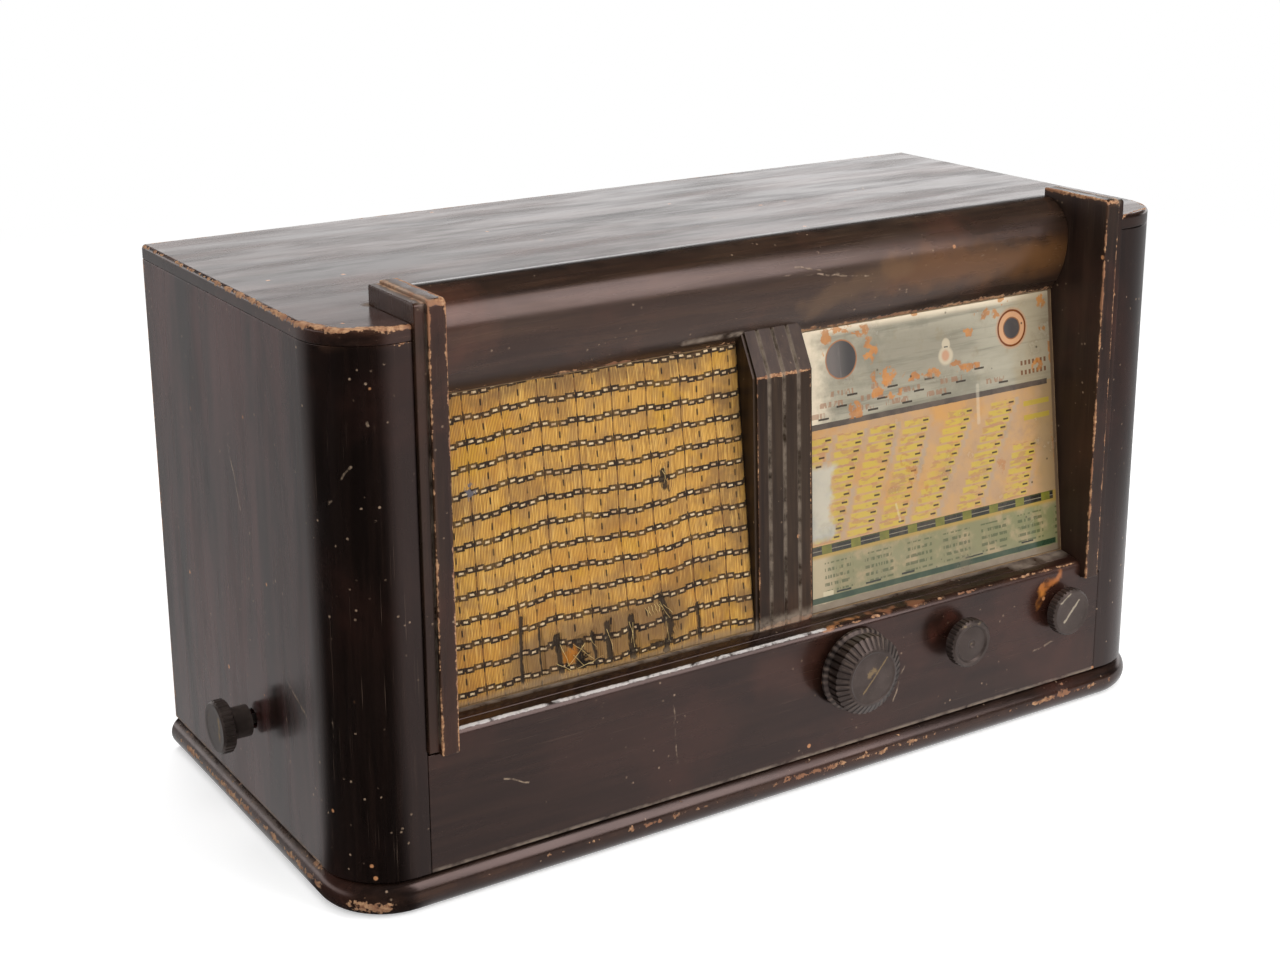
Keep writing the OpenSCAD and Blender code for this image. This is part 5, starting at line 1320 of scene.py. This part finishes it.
def twisted_cord(name):
    """Waxed cord with its twist."""
    f = Finish(name)
    twist = f.sine((f.along(X_RUN) + f.along(Z_RUN)) * 4.2)
    f.colour = f.mix(f.step(twist, -0.4, 0.8), (0.2, 0.14, 0.075), (0.52, 0.42, 0.26))
    f.bump(twist, 0.06)
    return f.done(0.8)


def black_rubber(name):
    """Rubber with a grey bloom."""
    f = Finish(name)
    bloom = f.noise(120, 5, 0.65)
    f.colour = f.mix(f.step(bloom, 0.45, 0.7), (0.014, 0.013, 0.013), (0.06, 0.055, 0.05))
    f.bump(f.noise(900, 3), 0.05)
    return f.done(f.blend(bloom, 0.6, 0.85))


def leave(wheel, following):
    """Angle at which the cord leaves one wheel for the next, in degrees."""
    way = Vector(following[:2]) - Vector(wheel[:2])
    spread = math.acos((wheel[2] - following[2]) / way.length)
    return math.degrees(math.atan2(way.y, way.x) + spread)


class RADIO_OT_drive(Builder, bpy.types.Operator):
    """Builds the dial drive: cord, wheels, pointer, light box and tuning capacitor"""

    bl_idname = "radio.drive"
    bl_label = "Dial drive"

    def execute(self, context):
        steel = metal("turned_steel_bright", (0.62, 0.61, 0.58), 0.22, brushed=(1, 6, 1))
        sheet = metal("pressed_steel", (0.50, 0.48, 0.44), 0.38, (0.20, 0.15, 0.10))
        brass = metal("turned_brass", (0.62, 0.43, 0.17), 0.24, (0.22, 0.13, 0.06))
        vanes = metal("vane_aluminium", (0.70, 0.70, 0.69), 0.28, (0.36, 0.35, 0.33), (8, 1, 8))
        rework(["tuning_shaft", "volume_shaft", "tone_shaft", "wave_shaft", "pointer_rail"],
               steel, 0.2)
        rework(["left_pulley", "right_pulley", "spindle_bush"], brass, 0.15)
        rework(["dial_drum", "gang_rotor", "gang_stator"], vanes, 0.1)
        rework(["gang_frame", "potentiometers"], sheet, 0.2)
        rework(["wave_switch"], fibre_sheet(
            "switch_paxolin", (0.20, 0.095, 0.035), (0.12, 0.05, 0.018)), 0.2)
        rework(["pointer"], painted(
            "needle_red", (0.42, 0.020, 0.012), 0.32, (0.14, 0.02, 0.015)), 0.1)
        rework(["dial_backplate"], painted(
            "reflector_white", (0.66, 0.63, 0.53), 0.38, (0.36, 0.27, 0.15), 0.2), 0.2)
        lamps = rework(["dial_lamps"],
                       clear_glass("lamp_bulb_glass", (1.0, 0.95, 0.82)), 0.1)[0]
        second_finish(lamps, brass, LAMP_CAPS)
        to_left, from_right = leave(SPINDLE, LEFT), leave(RIGHT, DRUM)
        to_spindle = leave(DRUM, SPINDLE)
        route = []
        for (x, z, r), start, end, count in (
                (RIGHT, from_right, 90, 14), (LEFT, 90, to_left, 12),
                (SPINDLE, to_left, to_spindle + 360, 14), (DRUM, to_spindle, from_right, 40)):
            for k in range(count + 1):
                a = math.radians(start + (end - start) * k / count)
                route.append(Vector((x + r * math.cos(a), CORD_Y, z + r * math.sin(a))) * MM)
        piece(tube(route, 0.48, 8, closed=True), "twisted_dial_cord",
              twisted_cord("waxed_cord"), ["dial_cord"], weighted=False)
        return {"FINISHED"}


# Places of the valves in millimetres, and whether the bulb is clear; radius and height
# of a clear and of a coated bulb; the top of the holders in metres; the radius and foot
# of a bulb's neck, a base's profile over its holder and a cap's over its bulb
VALVES = [("rectifier_valve", -60, 58, True), ("output_valve", -12, 58, True),
          ("audio_valve", 36, 58, False), ("if_valve", 176, 58, False),
          ("mixer_valve", 222, 12, False)]
CLEAR, COATED = (21, 98), (18, 84)
HOLDER_TOP = 0.104
NECK, NECK_FOOT = 13.5, 26.4
BASE = [(0, 0), (14.6, 0), (15, 0.6), (15, 3.4), (14.5, 4), (14.5, 21), (15, 22), (15, 25.4),
        (14.6, 26), (0, 26)]
CAP = [(0, -0.8), (4.4, -0.8), (4.5, 0), (4.5, 6), (4.1, 8.2), (3.2, 9), (0, 9)]


class RADIO_OT_valves(Builder, bpy.types.Operator):
    """Builds the valves: bases, bulbs, electrodes, caps and the tuning indicator"""

    bl_idname = "radio.valves"
    bl_label = "Valves"

    def bulb(self, radius, height, wall=None):
        """Profile of a bulb from its neck to its crown; closed when it has a wall."""
        top = height - 0.7 * radius

        def side(r):
            found = [(NECK - radius + r, NECK_FOOT)]
            for k in range(9):
                t = k / 8
                ease = (1 - math.cos(math.pi * t)) / 2
                found.append(((NECK - radius + r) + (radius - NECK) * ease, 30 + 14 * t))
            for a in range(0, 90, 10):
                found.append((r * math.cos(math.radians(a)),
                              top + (0.7 * radius - radius + r) * math.sin(math.radians(a))))
            found.append((0.0, top + 0.7 * radius - radius + r))
            return found

        outer = side(radius)
        if wall is None:
            return [(0.0, NECK_FOOT)] + outer
        return outer + side(radius - wall)[::-1] + outer[:1]

    def electrodes(self, radius, height, place):
        """Stem, mica discs, ribbed anode and its rods, as one shape."""
        top = height - 0.7 * radius
        parts = [turned([(0, 28), (5.5, 28), (4.2, 38), (6.5, 41), (0, 41)], 20)]
        for z in (45, top + 2):
            parts.append(turned([(0, z), (radius * 0.7, z), (radius * 0.7, z + 0.5),
                                 (0, z + 0.5)], 32))
        ribs = [(0, 48), (8.5, 48)]
        for k in range(6):
            z = 50 + k * (top - 52) / 6
            ribs += [(8.5, z), (9.4, z + 1.0), (8.5, z + 2.0)]
        ribs += [(8.5, top - 1), (0, top - 1)]
        can = turned(ribs, 32)
        bmesh.ops.scale(can, vec=(1.15, 0.72, 1), verts=can.verts)
        parts.append(can)
        for x, y in ((11.5, 0), (-11.5, 0), (0, 8), (0, -8)):
            rod = turned([(0, 40), (0.6, 40), (0.6, top + 5), (0, top + 5)], 8)
            bmesh.ops.translate(rod, vec=(x * MM, y * MM, 0), verts=rod.verts)
            parts.append(rod)
        whole = join(*parts)
        whole.transform(place)
        return whole

    def execute(self, context):
        black = moulded("valve_base_moulding", (0.016, 0.012, 0.010))
        glass = clear_glass("valve_bulb_glass", (0.93, 0.96, 0.95))
        inner = painted("electrode_grey", (0.055, 0.055, 0.058), 0.5, (0.16, 0.15, 0.14))
        mirror = metal("getter_mirror", (0.30, 0.29, 0.30), 0.08, (0.04, 0.035, 0.04), dull=0.9)
        coat = painted("sprayed_red_coat", (0.36, 0.045, 0.022), 0.38, (0.30, 0.20, 0.10), 0.5)
        tin = metal("cap_tin", (0.60, 0.57, 0.50), 0.3)
        for node, x, y, clear in VALVES:
            radius, height = CLEAR if clear else COATED
            at = Matrix.Translation((x * MM, y * MM, HOLDER_TOP))
            piece(turned(BASE, 48, at), node + "_base", black)
            if clear:
                piece(turned(self.bulb(radius - 0.1, height, 0.8), 48, at), node + "_bulb",
                      glass, [node])
                piece(self.electrodes(radius, height, at), node + "_electrodes", inner)
                r, top = radius - 1.2, height - 0.7 * radius
                dome = [(r * math.cos(math.radians(a)),
                         top - 0.4 + 0.68 * r * math.sin(math.radians(a)))
                        for a in range(38, 91, 6)]
                dome = dome + [(0, dome[-1][1]), (0, dome[-1][1] - 0.3)] + [
                    (max(0, q - 0.3), h - 0.3) for q, h in dome[::-1]] + dome[:1]
                piece(turned(dome, 40, at), node + "_getter", mirror)
                continue
            piece(turned(self.bulb(radius - 0.1, height), 48, at), node + "_coated",
                  coat, [node])
            cap = [(r, height + h) for r, h in CAP]
            piece(turned(cap, 24, at), node + "_cap", tin)
        eye = painted("indicator_screen", (0.05, 0.16, 0.10), 0.12, (0.02, 0.05, 0.035), 0.1)
        silver = metal("indicator_silvering", (0.42, 0.42, 0.43), 0.1, (0.10, 0.09, 0.10))
        indicator = rework(["tuning_indicator"], eye, 0.2)[0]
        second_finish(indicator, silver, EYE_SILVER)
        second_finish(indicator, black, EYE_BASE)
        return {"FINISHED"}


class RADIO_OT_chassis(Builder, bpy.types.Operator):
    """Builds the chassis with its transformers, capacitors, cans and sockets"""

    bl_idname = "radio.chassis"
    bl_label = "Chassis"

    def execute(self, context):
        plate = metal("cadmium_plate", (0.56, 0.54, 0.47), 0.36, (0.26, 0.20, 0.13), dull=0.8)
        can = metal("spun_aluminium", (0.72, 0.72, 0.72), 0.26, (0.42, 0.41, 0.39), (1, 1, 9))
        core, wrap = stacked_plates("core_plates"), wound_paper("coil_wrap")
        rework(["chassis"], plate)
        rework(["chassis_bolts", "speaker_screws"],
               metal("zinc_screws", (0.48, 0.47, 0.44), 0.34, (0.20, 0.12, 0.06)), 0.1)
        rework(["smoothing_capacitors", "if_cans"], can, 0.5, 24)
        rework(["valve_holders"], moulded("holder_moulding", (0.04, 0.018, 0.010)))
        rework(["mains_transformer_core"], core)
        rework(["mains_transformer_coil"], wrap, 1.2)
        output = rework(["output_transformer"], core)[0]
        output.data.materials.append(wrap)
        for face in output.data.polygons:
            if abs(face.center.y - OUTPUT_Y) > HALF_STACK:
                face.material_index = 1
        rework(["rear_socket_strip"], fibre_sheet(
            "socket_paxolin", (0.16, 0.075, 0.028), (0.09, 0.038, 0.014)), 0.2)
        rework(["mains_grommet"], black_rubber("lead_grommet_rubber"))
        return {"FINISHED"}


class RADIO_OT_inner_wood(Builder, bpy.types.Operator):
    """Builds the baffle board, the battens, the runners and the slotted back"""

    bl_idname = "radio.inner_wood"
    bl_label = "Inner wood and back"

    def execute(self, context):
        pale = bare_wood("baffle_plywood", (0.38, 0.24, 0.12), (0.25, 0.14, 0.065), X_RUN)
        strip = bare_wood("batten_beech", (0.42, 0.27, 0.15), (0.28, 0.16, 0.08), Z_RUN)
        rework(["baffle_board"], pale)
        rework(["back_battens", "chassis_runners"], strip, 0.6)
        rework(["back_cover"], pressed_board("back_board"), 0.35)
        rework(["back_cover_screws"], metal(
            "screw_brass", (0.56, 0.38, 0.15), 0.34, (0.13, 0.085, 0.05), dull=0.8), 0.12)
        return {"FINISHED"}


class RADIO_OT_speaker(Builder, bpy.types.Operator):
    """Builds the loudspeaker behind the cloth"""

    bl_idname = "radio.speaker"
    bl_label = "Loudspeaker"

    def execute(self, context):
        rework(["speaker_cone"], cone_paper("cone_felt"), 0.1)
        rework(["speaker_basket"], painted(
            "basket_enamel", (0.085, 0.092, 0.095), 0.4, (0.17, 0.13, 0.10)), 0.4)
        rework(["speaker_magnet"], painted(
            "magnet_enamel", (0.12, 0.055, 0.035), 0.36, (0.06, 0.04, 0.03)), 0.6)
        return {"FINISHED"}


# Stage

# The photograph's camera: width of the frame, focal length and shift in its pixels,
# width of the sensor in millimetres, yaw, pitch and roll in radians, place in metres.
FRAME_PX, FOCAL_PX, SHIFT_PX = 1280, 2007.9, (31.45, -101.6)
SENSOR = 36.0
CAMERA_TURN = (0.556, 0.275, -0.009)
CAMERA_PLACE = (-0.6923, -1.0339, 0.5862)
HALF_FLOOR = 9
# Name, place, aim and size in metres, power in watts, and whether gloss shows it
LAMPS = [("key_light", (-1.0, -1.7, 2.0), (0, 0, 0.15), (1.6, 1.4), 29, False),
         ("top_light", (0.2, 0.9, 2.2), (0, 0, 0.1), (2.2, 1.6), 26, False),
         ("right_light", (0.62, -1.25, 1.0), (-0.1, -0.1, 0.3), (0.8, 1.35), 15, True)]


class RADIO_OT_stage(Builder, bpy.types.Operator):
    """Sets the floor, the soft light, the world and the camera"""

    bl_idname = "radio.stage"
    bl_label = "Floor, light and camera"

    def floor(self):
        """A pale sheet that fades to white, and shows in gloss as a lit backdrop would."""
        bm = bmesh.new()
        bmesh.ops.create_grid(bm, x_segments=2, y_segments=2, size=HALF_FLOOR)
        mesh = bpy.data.meshes.new("pale_floor")
        bm.to_mesh(mesh)
        bm.free()
        ground = bpy.data.objects.new("pale_floor", mesh)
        bpy.context.scene.collection.objects.link(ground)
        f = Finish("pale_floor")
        f.colour = (0.80, 0.80, 0.80)
        mesh.materials.append(f.done(0.9, Specular_IOR_Level=0.1))
        path = f.add("LightPath").socket.node
        x, y, _ = f.split(f.place())
        across, ahead = x + 0.26, y + 0.1
        flat = f.vector("NORMALIZE", f.pair(across, ahead))
        side = f.step(x, -0.5, 0.1) * f.step(x, 0.9, 0.45)
        # the sheet is lit from behind and from the right, and dark towards the camera
        lit = f.step(f.vector("DOT_PRODUCT", flat, Vector((-0.866, -0.5, 0)), out=1), 0.62, 0.22)
        glow = f.blend(lit, 0.04, f.blend(side, 0.45, 0.85))
        shown, white, faint = (f.add("Emission", {"Color": (1, 1, 1, 1), "Strength": strength})
                               for strength in (glow, 1.0, 0.42))
        sheet = f.add("AddShader", {0: f.shader.outputs[0], 1: faint})
        far = f.step(f.length(f.place()), 0.9, 1.9)
        seen = f.add("MixShader", {0: far, 1: sheet, 2: white})
        plain = f.shader.outputs[0]
        for ray, other in (("Is Camera Ray", seen), ("Is Glossy Ray", shown),
                           ("Is Transmission Ray", white)):
            plain = f.add("MixShader", {0: path.outputs[ray], 1: plain, 2: other})
        f.join(plain, f.tree.nodes["Material Output"].inputs["Surface"])

    def world(self):
        """White for the camera, dimmer as a light."""
        world = bpy.data.worlds.new("soft_studio")
        world.use_nodes = True
        bpy.context.scene.world = world
        n = Nodes(world.node_tree)
        path = n.add("LightPath").socket.node
        _, y, z = n.split(n.add("TexCoord"))
        # gloss sees a white backdrop behind the set and a dark ceiling
        sheet = n.step(z, 0.29, 0.19) * n.step(y, -0.25, 0.1)
        gloss = n.blend(sheet, 0.05, 1.72)
        strength = n.blend(path.outputs["Is Glossy Ray"], 0.48, gloss)
        seen = n.most(path.outputs["Is Camera Ray"], path.outputs["Is Transmission Ray"])
        back = world.node_tree.nodes["Background"]
        n.join(n.blend(seen, strength, 1.0), back.inputs["Strength"])
        back.inputs["Color"].default_value = (1, 1, 1, 1)

    def lamp(self, name, place, aim, size, power, glossy):
        """A rectangular lamp, in metres and watts, aimed at a point."""
        data = bpy.data.lights.new(name, "AREA")
        data.shape = "RECTANGLE"
        data.size, data.size_y = size
        data.energy = power
        lamp = bpy.data.objects.new(name, data)
        bpy.context.scene.collection.objects.link(lamp)
        lamp.location = place
        lamp.visible_glossy = glossy
        way = Vector(aim) - Vector(place)
        lamp.rotation_euler = way.to_track_quat("-Z", "Y").to_euler()

    def camera(self):
        """The camera that was fitted to the photograph."""
        data = bpy.data.cameras.new("photograph_view")
        data.sensor_width = SENSOR
        data.sensor_fit = "HORIZONTAL"
        data.lens = FOCAL_PX / FRAME_PX * SENSOR
        data.shift_x, data.shift_y = (shift / FRAME_PX for shift in SHIFT_PX)
        data.clip_start, data.clip_end = 0.05, 50
        eye = bpy.data.objects.new("photograph_view", data)
        bpy.context.scene.collection.objects.link(eye)
        yaw, pitch, roll = CAMERA_TURN
        ahead = Vector((math.sin(yaw) * math.cos(pitch), math.cos(yaw) * math.cos(pitch),
                        -math.sin(pitch)))
        right = Vector((math.cos(yaw), -math.sin(yaw), 0))
        up = right.cross(ahead)
        across = math.cos(roll) * right + math.sin(roll) * up
        above = math.cos(roll) * up - math.sin(roll) * right
        turn = Matrix((across, above, -ahead)).transposed().to_4x4()
        eye.matrix_world = Matrix.Translation(CAMERA_PLACE) @ turn
        bpy.context.scene.camera = eye

    def execute(self, context):
        scene = context.scene
        scene.view_settings.view_transform = "Standard"
        self.floor()
        self.world()
        for row in LAMPS:
            self.lamp(*row)
        self.camera()
        return {"FINISHED"}


class RADIO_PT_panel(bpy.types.Panel):
    """Lists the steps of the radio"""

    bl_label = "Radio receiver"
    bl_idname = "RADIO_PT_panel"
    bl_space_type = "VIEW_3D"
    bl_region_type = "UI"
    bl_category = "Radio"

    def draw(self, context):
        layout = self.layout
        for group in (context.scene.radio_sizes, context.scene.radio_colours):
            column = layout.column()
            for name in group.__annotations__:
                column.prop(group, name)
        for step in STEPS:
            layout.operator(step.bl_idname)


STEPS = (RADIO_OT_stage, RADIO_OT_cabinet, RADIO_OT_roll, RADIO_OT_cloth, RADIO_OT_dial,
         RADIO_OT_knobs, RADIO_OT_drive, RADIO_OT_valves, RADIO_OT_chassis,
         RADIO_OT_inner_wood, RADIO_OT_speaker)
CLASSES = (RadioSizes, RadioColours, *STEPS, RADIO_PT_panel)


def register():
    for cls in CLASSES:
        bpy.utils.register_class(cls)
    bpy.types.Scene.radio_sizes = bpy.props.PointerProperty(type=RadioSizes)
    bpy.types.Scene.radio_colours = bpy.props.PointerProperty(type=RadioColours)


def unregister():
    del bpy.types.Scene.radio_colours
    del bpy.types.Scene.radio_sizes
    for cls in reversed(CLASSES):
        bpy.utils.unregister_class(cls)


def main():
    register()
    for step in STEPS:
        group, name = step.bl_idname.split(".")
        getattr(getattr(bpy.ops, group), name)()


if __name__ == "__main__":
    main()
